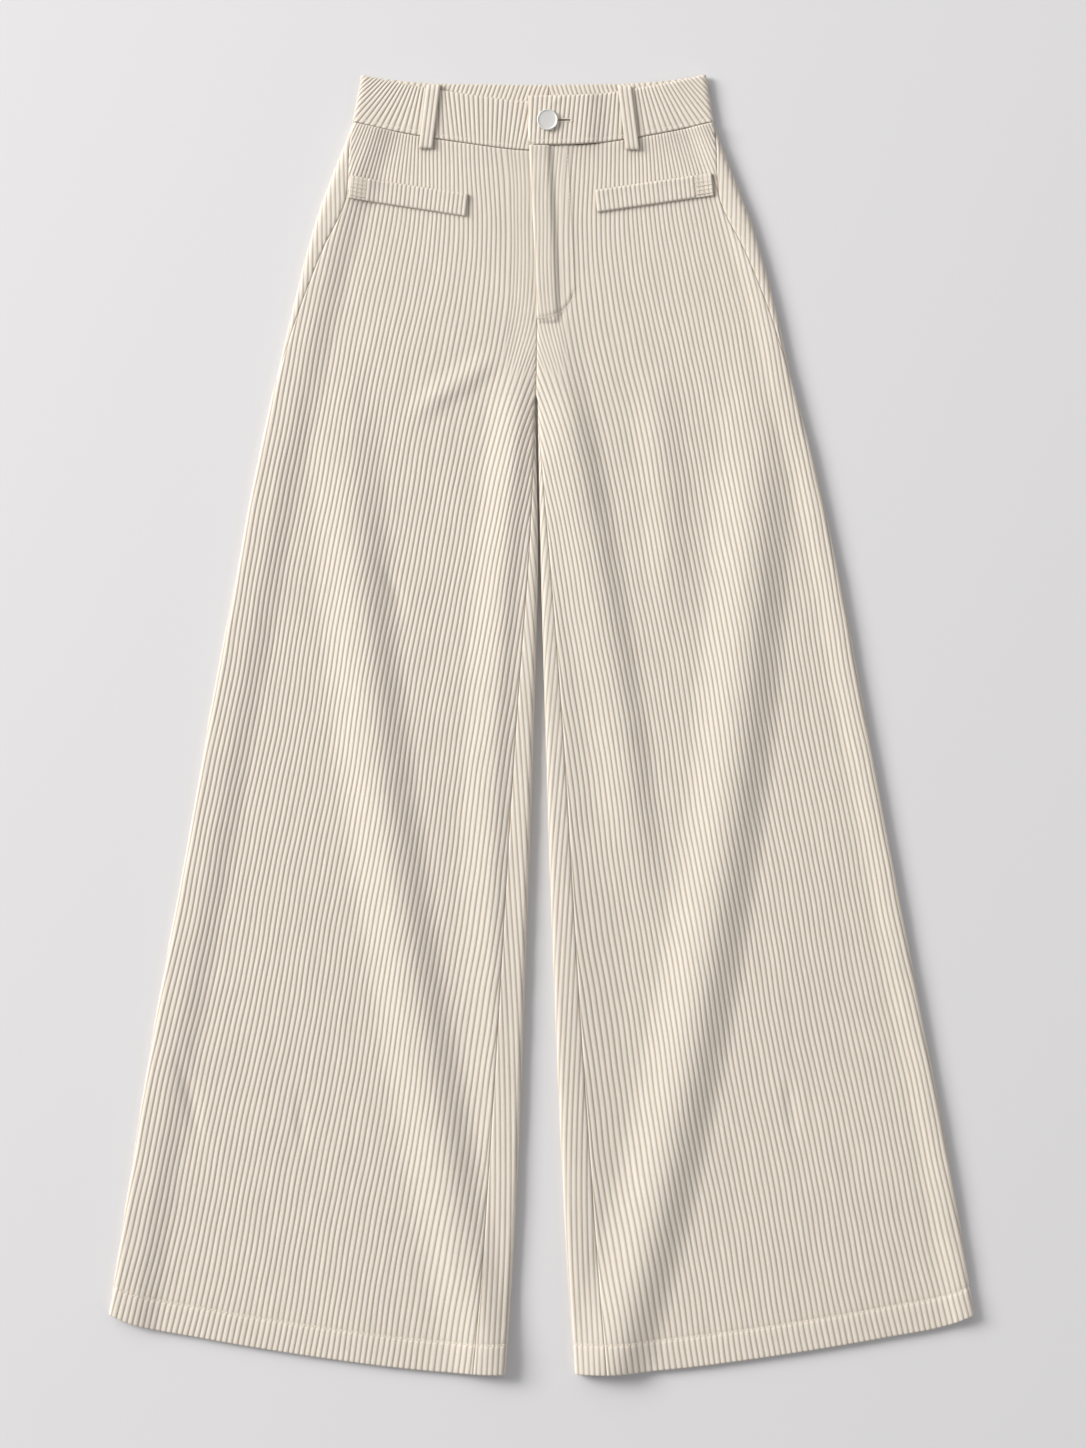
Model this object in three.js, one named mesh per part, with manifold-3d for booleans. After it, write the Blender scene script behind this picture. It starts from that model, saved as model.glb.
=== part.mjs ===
import * as THREE from 'three';
import { mergeVertices } from 'three/addons/utils/BufferGeometryUtils.js';
import Module from 'manifold-3d';

// Corduroy trousers laid on their back on a flat surface, front up.
// Millimetres. +Z is up, +Y runs from hem to waist, +X points to the wearer's left.
// Each leg is a flattened ring of cloth: a back layer on the surface, a front layer over it,
// and a rolled fold down the outer edge and, below the crotch, down the inner edge.

// Cloth
const CLOTH = 2.0;              // wall of one layer
const WALE_RISE = 0.9;          // height of a corduroy rib over the wall
const WALE_STEPS = 2;           // columns of points in a rib: its groove and its crest
const SPARE_WALES = 12;         // more ribs than fit at the widest place, for the lean of the guide
const WALE_SNAP = 0.8;          // a rib's point that comes this near to a seam is moved on to it
const INSIDE_STEP = 6;          // columns of a ribbed outside for each column of its plain inside
const SEAM_GAP = 0.3;           // between two pieces that are sewn together
const FOLD_SEAM_GAP = 0.5;      // the same on the outside of a fold, so that its inside keeps the gap
const FRONT_TOP = 5.0;          // outside of the front layer where it lies flat on the back layer

// Rise and legs
const CROTCH_Y = 291;
const CROTCH_X = -5.2;
const GUIDE_Y = 348;            // the ribs follow the outer edge below this height
const GUIDE_SLOPE = { right: 0.194, left: -0.222 };  // and a straight line above it
const CROTCH_RADIUS = FRONT_TOP / 2;
const INNER_RADIUS = 4.2;
const INNER_RADIUS_RUN = 60;    // length below the crotch over which the fold opens
const INNER_ROLL_REACH = 42;    // width over which the opened fold sinks on to the back layer

// Fly
const FLY_END_Y = 357;
const FLY_UNDERLAP = 9;
const FLY_RAISE = 2.8;          // the placket lies over the underlap
const FLY_WIDTH = 40;
const FLY_EASE = 9;
const FLY_END_DROP = 6;         // the placket stays raised this far below its end
const FLY_END_RUN = 8;          // and sinks over this length
const FLY_CLEAR = 5.5;          // the ribs stop this far before the edge that covers them
const FLY_CLEAR_BELOW = 20;     // from this far below the fly's end

// Waistband and its loops
const BAND_HEIGHT = 43.5;
const BAND_WALL = 2.4;
const BAND_WALE_RISE = 0.7;
const BAND_WALE_PITCH = 4.0;
const BAND_BACK_Z = 1.5;        // underside of the back of the band, over its loops
const BAND_FRONT_Z = 4.6;       // underside of the front of the band
const BAND_RADIUS = 3.5;
const BAND_OVERLAP_RAISE = 2.7;
const BAND_OVERLAP_END_X = -12.3;
const BAND_OVERLAP_FLAT_X = 38;
const BAND_OVERLAP_DROP_X = 58;
const BAND_UNDERLAP_END_X = 29;
const BAND_UNDERLAP_CLEAR = 3;  // the underlap has no ribs from this far before the edge over it
const BAND_EDGE_LEAN = { right: 7.7, left: -7.1 };  // of the band's outer edge, over its height
const BAND_CORNER = 8;
const BAND_BACK_CLEAR = 0.5;    // more room at the back seam, whose pieces are long straight facets
const BAND_SIDE_CLEAR = 0.3;    // and where the seam turns round the side
const BAND_SIDE_BEFORE = 10;    // the turn's start before the end of the bend, and its length
const BAND_SIDE_RUN = 14;
const CENTRE_BACK_X = 6;
const CENTRE_BACK_RUN = 180;    // length above the crotch over which the back seam moves across
const BACK_RISE = 12;           // the centre back seam is this much higher than the centre front
const LOOP_WALL = 1.5;
const BACK_LOOP_WALL = 1.2;
const LOOP_WIDTH = 12.5;
const LOOP_TAIL = 10;           // sewn end below the band
const LOOP_BOW = 0.5;           // the loop stands off the middle of the band
const LOOP_TURN = 0.9;          // and passes the band's upper edge by this much
const LOOP_END_Z = BAND_FRONT_Z + 0.4;
const LOOP_TAIL_CLEAR = 0.9;
const WAIST_EASE_RAISE = 1.4;   // the fronts rise over the seam turned into the band
const WAIST_EASE_RUN = 16;

// Waist seam: lowest at the centre front, rising to the sides, and a step where the fly closes,
// because the overlap is buttoned a little higher than the underlap
const WAIST_SEAM_Y = 508;
const WAIST_SEAM_X = -8;
const WAIST_SEAM_BEND = 21;
const WAIST_SEAM_REACH = 150;
const WAIST_SEAM_POWER = 1.6;
const WAIST_STEP = { right: -1.8, left: 2.6 };
const WAIST_STEP_REACH = 65;
const WAIST_STEP_RUN = 12;

// Hem
const HEM_Y = -545;
const HEM_DEPTH = 27;
const HEM_RAISE = 0.7;
const HEM_EASE = { above: 2, run: 4 };  // where the double cloth begins over its turned edge

// Button and buttonhole
const BUTTON = {
  x: 4.8, y: 532.2, radius: 9.25, wall: 2.8, dish: 0.8, rim: 1.3, shank: 2.1,
  underBevel: 0.8, topBevel: 0.6, dishBevel: 0.5, sides: 24,
};
const BUTTONHOLE = { eyelet: 3.2, slit: 1.4, length: 20, arcSteps: 10, from: BAND_FRONT_Z - 0.3, depth: 8 };

// A point of a bent section is found again from its own height this many times.
const SECTION_PASSES = 6;

// The outline of the laid garment: x of the outer edge on the wearer's right and left.
const OUTER_EDGE = [
  { y: 529, right: -167, left: 151.5 },
  { y: 480, right: -186.5, left: 170.5 },
  { y: 445, right: -199, left: 184 },
  { y: 375, right: -217.5, left: 204 },
  { y: 304, right: -234, left: 220 },
  { y: 234, right: -250, left: 238.5 },
  { y: 128, right: -269.5, left: 262 },
  { y: 23, right: -289.5, left: 281.5 },
  { y: -118, right: -314, left: 308 },
  { y: -259, right: -340, left: 334.5 },
  { y: -400, right: -362.5, left: 361 },
  { y: -519, right: -381, left: 380 },
];

// x of each leg's inner edge, from the crotch to the hem.
const INNER_EDGE = [
  { y: 291, right: -6.4, left: -4.0 },
  { y: 146, right: -3.6, left: -1.2 },
  { y: 69, right: -5.3, left: 0.9 },
  { y: -38, right: -8.8, left: 4.3 },
  { y: -140, right: -12.3, left: 7.5 },
  { y: -452, right: -24.6, left: 21.1 },
  { y: -571, right: -32.6, left: 29 },
];

// x of the centre front, where the left front's edge lies.
const CENTRE_FRONT = [
  { y: WAIST_SEAM_Y, x: -11.4 },
  { y: FLY_END_Y, x: -4.4 },
  { y: CROTCH_Y, x: CROTCH_X },
];

// Distance round the cloth from the middle of the outer edge to the side seam on the front.
const SIDE_SEAM = [
  { y: 529, girth: 2.5 },
  { y: 506, girth: 9 },
  { y: 484, girth: 17 },
  { y: 463, girth: 23 },
  { y: 445, girth: 22 },
  { y: 425, girth: 17.5 },
  { y: 375, girth: 10 },
  { y: 330, girth: 5 },
  { y: 290, girth: 0 },
];

// Distance round the cloth from the middle of the inner edge to the inseam on the front.
const INSEAM = [
  { y: 291, girth: 0 },
  { y: 216, girth: 6 },
  { y: 72, girth: 14.5 },
  { y: -60, girth: 19.5 },
  { y: -250, girth: 24 },
  { y: -390, girth: 27.5 },
  { y: -545, girth: 30 },
];

// Distance from rib to rib, wider towards the hem where the cloth is pressed open.
const WALE_PITCH = [
  { y: 508, pitch: 4.0 },
  { y: 418, pitch: 4.2 },
  { y: 200, pitch: 4.3 },
  { y: -65, pitch: 4.4 },
  { y: -330, pitch: 4.58 },
  { y: -570, pitch: 4.8 },
];

// The hem's edge: y against the distance from the middle of the garment.
const HEM_EDGE = [
  { x: 28, y: -570.5 },
  { x: 65, y: -570.5 },
  { x: 122, y: -566 },
  { x: 188, y: -557.5 },
  { x: 250, y: -548 },
  { x: 304, y: -538.5 },
  { x: 357, y: -528 },
  { x: 382, y: -518 },
];

// Sections across a panel: how far each takes on the bend of the waist seam and of the hem.
const SECTIONS = [
  { y: WAIST_SEAM_Y, seam: 1, hem: 0 },
  { y: 470, seam: 0.6, hem: 0 },
  { y: 420, seam: 0.1, hem: 0 },
  { y: FLY_END_Y, seam: 0, hem: 0 },
  { y: FLY_END_Y - 14, seam: 0, hem: 0 },
  { y: CROTCH_Y, seam: 0, hem: 0 },
  { y: 245, seam: 0, hem: 0 },
  { y: 165, seam: 0, hem: 0 },
  { y: 78, seam: 0, hem: 0 },
  { y: -12, seam: 0, hem: 0 },
  { y: -102, seam: 0, hem: 0 },
  { y: -192, seam: 0, hem: 0 },
  { y: -282, seam: 0, hem: 0 },
  { y: -370, seam: 0, hem: 0.2 },
  { y: -450, seam: 0, hem: 0.6 },
  { y: HEM_Y + HEM_DEPTH, seam: 0, hem: 1 },
  { y: HEM_Y, seam: 0, hem: 1 },
];

// The large folds, each a ridge from its upper to its lower end with a bow to the wearer's right
// (minus) or left (plus), its height, how far it reaches on each side of its crest, and the lengths
// over which it rises at its upper end and dies away at its lower one.
const FOLDS = [
  { side: 'right', x0: -178, y0: 360, x1: -34, y1: -610, bow: -24, height: 6.5,
    toRight: 42, toLeft: 34, rise: 260, fall: 70 },
  { side: 'right', x0: -16, y0: 345, x1: -40, y1: -440, bow: -16, height: 4.4,
    toRight: 30, toLeft: 20, rise: 90, fall: 380 },
  { side: 'right', x0: -125, y0: 268, x1: -30, y1: 330, bow: 0, height: 2.6,
    toRight: 16, toLeft: 16, rise: 40, fall: 40 },
  { side: 'left', x0: 0, y0: 372, x1: 92, y1: -190, bow: 10, height: 5.5,
    toRight: 40, toLeft: 27, rise: 120, fall: 150 },
  { side: 'left', x0: 94, y0: 330, x1: 114, y1: 60, bow: 4, height: 2.6,
    toRight: 24, toLeft: 28, rise: 80, fall: 110 },
  { side: 'left', x0: 190, y0: 360, x1: 46, y1: -620, bow: 38, height: 8.4,
    toRight: 44, toLeft: 38, rise: 230, fall: 70 },
  { side: 'left', x0: 14, y0: 0, x1: 42, y1: -610, bow: 0, height: 2.2,
    toRight: 20, toLeft: 20, rise: 120, fall: 70 },
];

// The loose loop of cloth along each outer edge: radius of the roll, its extra height and its reach.
const EDGE_ROLL = {
  right: { radius: 4.4, raise: 3.8, flat: 18, reach: 46 },
  left: { radius: 4.0, raise: 3.0, flat: 8, reach: 28 },
};

// Front belt loops and pocket welts, by their corners on the laid garment.
const FRONT_LOOPS = [
  { name: 'belt_loop_front_right', side: 'right', topX: -95.7, bottomX: -102.5 },
  { name: 'belt_loop_front_left', side: 'left', topX: 72.8, bottomX: 79.6 },
];
const BACK_LOOPS = [
  { name: 'belt_loop_back_right', x: -104 },
  { name: 'belt_loop_back_centre', x: CENTRE_BACK_X },
  { name: 'belt_loop_back_left', x: 92 },
];
const WELTS = [
  { name: 'welt_right', side: 'right', outerX: -168.5, outerY: 483.8, innerX: -65, innerY: 468 },
  { name: 'welt_left', side: 'left', outerX: 149, outerY: 486.4, innerX: 46.3, innerY: 471.5 },
];
const WELT = { depth: 19.8, wall: 1.8, lean: 2.2, clearOver: [-4, -2, 0, 2, 4] };

const PALETTE = {
  cloth: { color: 0xe6dac8, roughness: 0.92, metalness: 0 },
  metal: { color: 0xd2d0cc, roughness: 0.32, metalness: 1 },
};

const wasm = await Module();
wasm.setup();

const inward = { right: 1, left: -1 };

const clamp = (value, low, high) => Math.min(high, Math.max(low, value));
const smooth = (share) => {
  const t = clamp(share, 0, 1);
  return t * t * (3 - 2 * t);
};
const mix = (a, b, t) => a + (b - a) * t;

// Value of one column of a table at a place along another column, on a smooth curve.
function along(table, at, key, place) {
  const rising = table[0][at] < table[table.length - 1][at];
  const rows = rising ? table : [...table].reverse();
  const last = rows.length - 1;
  let i = 0;
  while (i < last - 1 && place > rows[i + 1][at]) i += 1;
  const step = rows[i + 1][at] - rows[i][at];
  const rise = (rows[i + 1][key] - rows[i][key]) / step;
  const t = (place - rows[i][at]) / step;
  if (t < 0 || t > 1) return mix(rows[i][key], rows[i + 1][key], t);
  const before = i > 0 ? (rows[i][key] - rows[i - 1][key]) / (rows[i][at] - rows[i - 1][at]) : rise;
  const after = i < last - 1
    ? (rows[i + 2][key] - rows[i + 1][key]) / (rows[i + 2][at] - rows[i + 1][at])
    : rise;
  const start = (before + rise) / 2;
  const end = (rise + after) / 2;
  return mix(rows[i][key], rows[i + 1][key], t * t * (3 - 2 * t))
    + step * (start * t * (1 - t) ** 2 - end * t * t * (1 - t));
}

const outerEdge = (side, y) => along(OUTER_EDGE, 'y', side, y);
const innerEdge = (side, y) => along(INNER_EDGE, 'y', side, Math.min(y, CROTCH_Y));
const centreFront = (y) => along(CENTRE_FRONT, 'y', 'x', y);
const hemEdge = (x) => along(HEM_EDGE, 'x', 'y', Math.abs(x));
const walePitch = (y) => along(WALE_PITCH, 'y', 'pitch', y);

function waistBend(x) {
  return WAIST_SEAM_BEND * (Math.abs(x - WAIST_SEAM_X) / WAIST_SEAM_REACH) ** WAIST_SEAM_POWER;
}

// The step of the waist seam; under the overlap the right half comes up to the left one.
function waistStep(side, x) {
  const stepOf = (half) => (
    WAIST_STEP[half] * (1 - smooth(((WAIST_SEAM_X - x) * inward[half]) / WAIST_STEP_REACH))
  );
  if (side === 'left') return stepOf('left');
  return mix(stepOf('right'), stepOf('left'), smooth((x - BAND_OVERLAP_END_X) / WAIST_STEP_RUN));
}

// The ribs' guide line: the outer edge of the leg, carried on straight over the hip.
function waleGuide(side, y) {
  if (y <= GUIDE_Y) return outerEdge(side, y);
  return outerEdge(side, GUIDE_Y) + GUIDE_SLOPE[side] * (y - GUIDE_Y);
}

function innerRadius(y) {
  return mix(CROTCH_RADIUS, INNER_RADIUS, smooth((CROTCH_Y - y) / INNER_RADIUS_RUN));
}

// Height of one fold at a point of the front.
function foldHeight(fold, x, y) {
  const run = Math.hypot(fold.x1 - fold.x0, fold.y1 - fold.y0);
  const ux = (fold.x1 - fold.x0) / run;
  const uy = (fold.y1 - fold.y0) / run;
  const t = ((x - fold.x0) * ux + (y - fold.y0) * uy) / run;
  if (t <= 0 || t >= 1) return 0;
  const across = (x - fold.x0) * -uy + (y - fold.y0) * ux - fold.bow * 4 * t * (1 - t);
  const reach = across < 0 ? fold.toRight : fold.toLeft;
  if (Math.abs(across) >= reach) return 0;
  const fade = smooth((t * run) / fold.rise) * smooth(((1 - t) * run) / fold.fall);
  return fold.height * fade * (1 + Math.cos((Math.PI * across) / reach)) / 2;
}

// Outside of the front layer, without its ribs, over a point of the surface it lies on.
function frontTop(side, x, y) {
  const roll = EDGE_ROLL[side];
  const fromOuter = (x - outerEdge(side, y)) * inward[side];
  let z = FRONT_TOP + roll.raise * (1 - smooth((fromOuter - roll.flat) / (roll.reach - roll.flat)));
  if (y < CROTCH_Y) {
    const fromInner = (innerEdge(side, y) - x) * inward[side];
    const opened = 2 * (innerRadius(y) - CROTCH_RADIUS);
    z += opened * (1 - smooth((fromInner - INNER_RADIUS) / INNER_ROLL_REACH));
  }
  for (const fold of FOLDS) {
    if (fold.side === side) z += foldHeight(fold, x, y);
  }
  const belowSeam = WAIST_SEAM_Y + waistBend(x) + waistStep(side, x) - y;
  z += WAIST_EASE_RAISE * (1 - smooth(belowSeam / WAIST_EASE_RUN));
  return z;
}

// How far the fly placket lifts the left front off the underlap.
function placketRaise(x, y) {
  const across = x - centreFront(y);
  const belowEnd = FLY_END_Y - FLY_END_DROP - y;
  return FLY_RAISE * (1 - smooth((across - FLY_WIDTH) / FLY_EASE)) * (1 - smooth(belowEnd / FLY_END_RUN));
}

// Extra height of the double cloth at a hem.
function hemRaise(x, y) {
  return HEM_RAISE * smooth((hemEdge(x) + HEM_DEPTH + HEM_EASE.above - y) / HEM_EASE.run);
}

function frontOutside(side, x, y) {
  const placket = side === 'left' ? placketRaise(x, y) : 0;
  return frontTop(side, x, y) + placket + hemRaise(x, y);
}

// Length of cloth over the front of a leg, from the middle of its outer edge to the middle of its
// inner edge, or to the centre front above the crotch.
function frontGirth(side, y) {
  const outer = EDGE_ROLL[side].radius;
  if (y > CROTCH_Y) {
    const width = Math.abs(centreFront(y) - outerEdge(side, y));
    return width - outer + (outer * Math.PI) / 2;
  }
  const inner = innerRadius(y);
  const width = Math.abs(innerEdge(side, y) - outerEdge(side, y));
  return width - outer - inner + ((outer + inner) * Math.PI) / 2;
}

// A point of a leg's wall. `girth` runs round the cloth from the middle of the outer edge, over the
// front when positive; `out` is the distance from the inside of the wall.
function legPoint(side, y, girth, out) {
  const outer = EDGE_ROLL[side].radius;
  const outerQuarter = (outer * Math.PI) / 2;
  const edge = outerEdge(side, y);
  const direction = inward[side];
  if (girth < outerQuarter) {
    const half = frontOutside(side, edge + direction * outer, y) / 2;
    const angle = Math.max(girth / outer, -Math.PI / 2);
    const past = Math.max(-girth - outerQuarter, 0);
    const x = edge + direction * (outer - (outer - CLOTH + out) * Math.cos(angle) + past);
    return new THREE.Vector3(x, y, half + (half - CLOTH + out) * Math.sin(angle));
  }
  if (y <= CROTCH_Y) {
    const inner = innerRadius(y);
    const beyond = girth - (frontGirth(side, y) - (inner * Math.PI) / 2);
    if (beyond > 0) {
      const innerX = innerEdge(side, y);
      const half = frontOutside(side, innerX - direction * inner, y) / 2;
      const angle = Math.max(Math.PI / 2 - beyond / inner, -Math.PI / 2);
      const x = innerX - direction * (inner - (inner - CLOTH + out) * Math.cos(angle));
      return new THREE.Vector3(x, y, half + (half - CLOTH + out) * Math.sin(angle));
    }
  }
  const x = edge + direction * (outer + girth - outerQuarter);
  return new THREE.Vector3(x, y, frontOutside(side, x, y) - CLOTH + out);
}

// y of a section at a place across the panel.
function sectionY(section, x, rise = 0) {
  const centre = 1 - smooth(Math.abs(x - WAIST_SEAM_X) / WAIST_SEAM_REACH);
  return section.y + section.seam * (waistBend(x) + rise * centre) + section.hem * (hemEdge(x) - HEM_Y);
}

// The point of a section at a girth that itself depends on y.
function sectionPoint(side, section, girthAt, outAt) {
  let y = section.y;
  for (let pass = 0; pass < SECTION_PASSES; pass += 1) {
    const { x } = legPoint(side, y, girthAt(y), CLOTH);
    y = sectionY(section, x) + section.seam * waistStep(side, x);
  }
  const girth = girthAt(y);
  return legPoint(side, y, girth, outAt(girth, y));
}

// Turns a list of corner triples into an indexed closed mesh with its faces pointing out.
function solidGeometry(corners) {
  const soup = new THREE.BufferGeometry();
  soup.setAttribute('position', new THREE.Float32BufferAttribute(corners.flatMap((p) => [p.x, p.y, p.z]), 3));
  const merged = mergeVertices(soup, 1e-3);
  const index = merged.getIndex().array;
  const kept = [];
  for (let i = 0; i < index.length; i += 3) {
    const [a, b, c] = [index[i], index[i + 1], index[i + 2]];
    if (a !== b && b !== c && c !== a) kept.push(a, b, c);
  }
  merged.setIndex(kept);
  const position = merged.getAttribute('position');
  let volume = 0;
  for (let i = 0; i < kept.length; i += 3) {
    const [a, b, c] = [0, 1, 2].map((k) => new THREE.Vector3().fromBufferAttribute(position, kept[i + k]));
    volume += a.dot(b.cross(c));
  }
  if (volume < 0) {
    for (let i = 0; i < kept.length; i += 3) [kept[i + 1], kept[i + 2]] = [kept[i + 2], kept[i + 1]];
    merged.setIndex(kept);
  }
  return merged;
}

// A wall between an outside with all its columns and an inside that keeps only some of them.
function wallGeometry(outside, inside, keptColumns) {
  const corners = [];
  const triangle = (a, b, c, turned) => corners.push(a, turned ? c : b, turned ? b : c);
  const quad = (a, b, c, d, turned) => {
    triangle(a, b, c, turned);
    triangle(a, c, d, turned);
  };
  const lastRow = outside.length - 1;
  const lastColumn = outside[0].length - 1;
  const lastKept = keptColumns.length - 1;
  for (let i = 0; i < lastRow; i += 1) {
    for (let j = 0; j < lastColumn; j += 1) {
      quad(outside[i][j], outside[i][j + 1], outside[i + 1][j + 1], outside[i + 1][j], false);
    }
    for (let m = 0; m < lastKept; m += 1) {
      quad(inside[i][m], inside[i][m + 1], inside[i + 1][m + 1], inside[i + 1][m], true);
    }
    quad(outside[i][0], outside[i + 1][0], inside[i + 1][0], inside[i][0], false);
    const end = [outside[i][lastColumn], outside[i + 1][lastColumn]];
    quad(...end, inside[i + 1][lastKept], inside[i][lastKept], true);
  }
  for (const [row, turned] of [[0, false], [lastRow, true]]) {
    for (let m = 0; m < lastKept; m += 1) {
      for (let j = keptColumns[m]; j < keptColumns[m + 1]; j += 1) {
        triangle(outside[row][j + 1], outside[row][j], inside[row][m], turned);
      }
      triangle(inside[row][m], inside[row][m + 1], outside[row][keptColumns[m + 1]], turned);
    }
  }
  return solidGeometry(corners);
}

function everyColumn(count, step) {
  const columns = [];
  for (let j = 0; j < count - 1; j += step) columns.push(j);
  columns.push(count - 1);
  return columns;
}

// Girth of a column of the ribbed cloth: two columns to a rib, held between two seams.
function waleGirth(side, y, column, low, high) {
  const start = (waleGuide(side, y) - outerEdge(side, y)) * inward[side];
  const girth = start + (column / WALE_STEPS) * walePitch(y);
  if (girth < low + WALE_SNAP) return low;
  return girth > high - WALE_SNAP ? high : girth;
}

const waleRise = (column) => (column % WALE_STEPS === 1 ? WALE_RISE : 0);

const sideSeam = (y) => (y < CROTCH_Y ? 0 : along(SIDE_SEAM, 'y', 'girth', y));
const inseam = (y) => (y >= CROTCH_Y ? 0 : along(INSEAM, 'y', 'girth', y));

// A front: from the side seam over the leg to the centre front, and below the crotch to the inseam.
function frontGeometry(side) {
  const low = (y) => sideSeam(y) + FOLD_SEAM_GAP / 2;
  const high = (y, section) => {
    if (section.y > CROTCH_Y) {
      const underlap = side === 'right' && section.y > FLY_END_Y ? FLY_UNDERLAP : -SEAM_GAP / 2;
      return frontGirth(side, y) + underlap;
    }
    return frontGirth(side, y) - inseam(y) - FOLD_SEAM_GAP / 2;
  };
  const widest = Math.max(...SECTIONS.map(({ y }) => high(y, { y }) / walePitch(y)));
  const count = WALE_STEPS * Math.ceil(widest + SPARE_WALES) + 1;
  const outside = [];
  for (const section of SECTIONS) {
    const row = [];
    for (let column = 0; column < count; column += 1) {
      const girthAt = (y) => waleGirth(side, y, column, low(y), high(y, section));
      const outAt = (girth, y) => {
        const free = girth > low(y) && girth < high(y, section);
        const covered = side === 'right' && y > FLY_END_Y - FLY_CLEAR_BELOW
          && girth > frontGirth(side, y) - FLY_CLEAR;
        return CLOTH + (free && !covered ? waleRise(column) : 0);
      };
      row.push(sectionPoint(side, section, girthAt, outAt));
    }
    outside.push(row);
  }
  const kept = everyColumn(count, INSIDE_STEP);
  const inside = SECTIONS.map((section) => kept.map((column) => (
    sectionPoint(side, section, (y) => waleGirth(side, y, column, low(y), high(y, section)), () => 0)
  )));
  return wallGeometry(outside, inside, kept);
}

// A back: flat on the surface, round the outer edge to the side seam, and round the inner edge of
// the leg to the inseam. Only what comes round on to the front has ribs.
function backGeometry(side) {
  const hipColumns = 12;
  const strideColumns = 14;
  const flatShares = [0.08, 0.36, 0.64, 0.92];
  const outside = [];
  const inside = [];
  for (const section of SECTIONS) {
    const outsideRow = [];
    const insideRow = [];
    const put = (girthAt, outAt) => {
      outsideRow.push(sectionPoint(side, section, girthAt, outAt));
      insideRow.push(sectionPoint(side, section, girthAt, () => 0));
    };
    const outerQuarter = (EDGE_ROLL[side].radius * Math.PI) / 2;
    for (let column = hipColumns; column >= 0; column -= 1) {
      const girthAt = (y) => {
        const seam = sideSeam(y) - FOLD_SEAM_GAP / 2;
        const girth = (column / WALE_STEPS) * walePitch(y);
        return girth > seam - WALE_SNAP ? seam : girth;
      };
      put(girthAt, (girth, y) => CLOTH + (girth < sideSeam(y) - FOLD_SEAM_GAP ? waleRise(column) : 0));
    }
    put(() => -outerQuarter / 2, () => CLOTH);
    put(() => -outerQuarter, () => CLOTH);
    const belowCrotch = section.y <= CROTCH_Y;
    const direction = inward[side];
    for (const share of flatShares) {
      let y = section.y;
      let x = 0;
      for (let pass = 0; pass < SECTION_PASSES; pass += 1) {
        const from = outerEdge(side, y) + direction * EDGE_ROLL[side].radius;
        const to = belowCrotch ? innerEdge(side, y) - direction * innerRadius(y) : centreBack(side, y);
        x = mix(from, to, share);
        y = sectionY(section, x, BACK_RISE);
      }
      outsideRow.push(new THREE.Vector3(x, y, 0));
      insideRow.push(new THREE.Vector3(x, y, CLOTH));
    }
    if (!belowCrotch) {
      const y = sectionY(section, CENTRE_BACK_X, BACK_RISE);
      const x = centreBack(side, y);
      for (let column = -2; column <= strideColumns; column += 1) {
        outsideRow.push(new THREE.Vector3(x, y, 0));
        insideRow.push(new THREE.Vector3(x, y, CLOTH));
      }
    } else {
      const whole = (y) => frontGirth(side, y);
      const quarter = (y) => (innerRadius(y) * Math.PI) / 2;
      put((y) => whole(y) + quarter(y), () => CLOTH);
      put((y) => whole(y) + quarter(y) / 2, () => CLOTH);
      for (let column = 0; column <= strideColumns; column += 1) {
        const girthAt = (y) => {
          const seam = inseam(y) - FOLD_SEAM_GAP / 2;
          const girth = (column / WALE_STEPS) * walePitch(y);
          return whole(y) - (girth > seam - WALE_SNAP ? seam : girth);
        };
        const ribbed = (girth, y) => girth > whole(y) - inseam(y) + FOLD_SEAM_GAP;
        put(girthAt, (girth, y) => CLOTH + (ribbed(girth, y) ? waleRise(column) : 0));
      }
    }
    outside.push(outsideRow);
    inside.push(insideRow);
  }
  const rolled = hipColumns + 2;
  const flat = rolled + flatShares.length + 1;
  const last = flat + strideColumns + 1;
  const kept = [0, 4, 8, 10, hipColumns, rolled - 1, rolled];
  for (let column = rolled + 1; column <= flat + 2; column += 1) kept.push(column);
  for (let column = flat + 4; column < last; column += 3) kept.push(column);
  kept.push(last);
  return wallGeometry(outside, inside.map((row) => kept.map((column) => row[column])), kept);
}

// x of the centre back seam, from the waist down to the crotch.
function centreBack(side, y) {
  const seam = mix(CROTCH_X, CENTRE_BACK_X, smooth((y - CROTCH_Y) / CENTRE_BACK_RUN));
  return seam - (inward[side] * SEAM_GAP) / 2;
}

// The waistband: x of its outer edge, the outside of its front, and y of a place on it.
function bandEdge(side, share) {
  return outerEdge(side, WAIST_SEAM_Y + WAIST_SEAM_BEND) + BAND_EDGE_LEAN[side] * share;
}

function bandTop(side, x) {
  const level = BAND_FRONT_Z + BAND_WALL;
  if (side === 'right') return level;
  const run = BAND_OVERLAP_DROP_X - BAND_OVERLAP_FLAT_X;
  return level + BAND_OVERLAP_RAISE * (1 - smooth((x - BAND_OVERLAP_FLAT_X) / run));
}

function bandY(side, x, share, back) {
  const fromMiddle = Math.abs(x - WAIST_SEAM_X);
  const centre = 1 - smooth(fromMiddle / WAIST_SEAM_REACH);
  const moved = back ? BACK_RISE * centre + BAND_BACK_CLEAR : waistStep(side, x);
  const turn = smooth((fromMiddle - WAIST_SEAM_REACH + BAND_SIDE_BEFORE) / BAND_SIDE_RUN);
  const seam = WAIST_SEAM_Y + waistBend(x) + moved + SEAM_GAP + BAND_SIDE_CLEAR * turn;
  return seam + share * BAND_HEIGHT;
}

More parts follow.
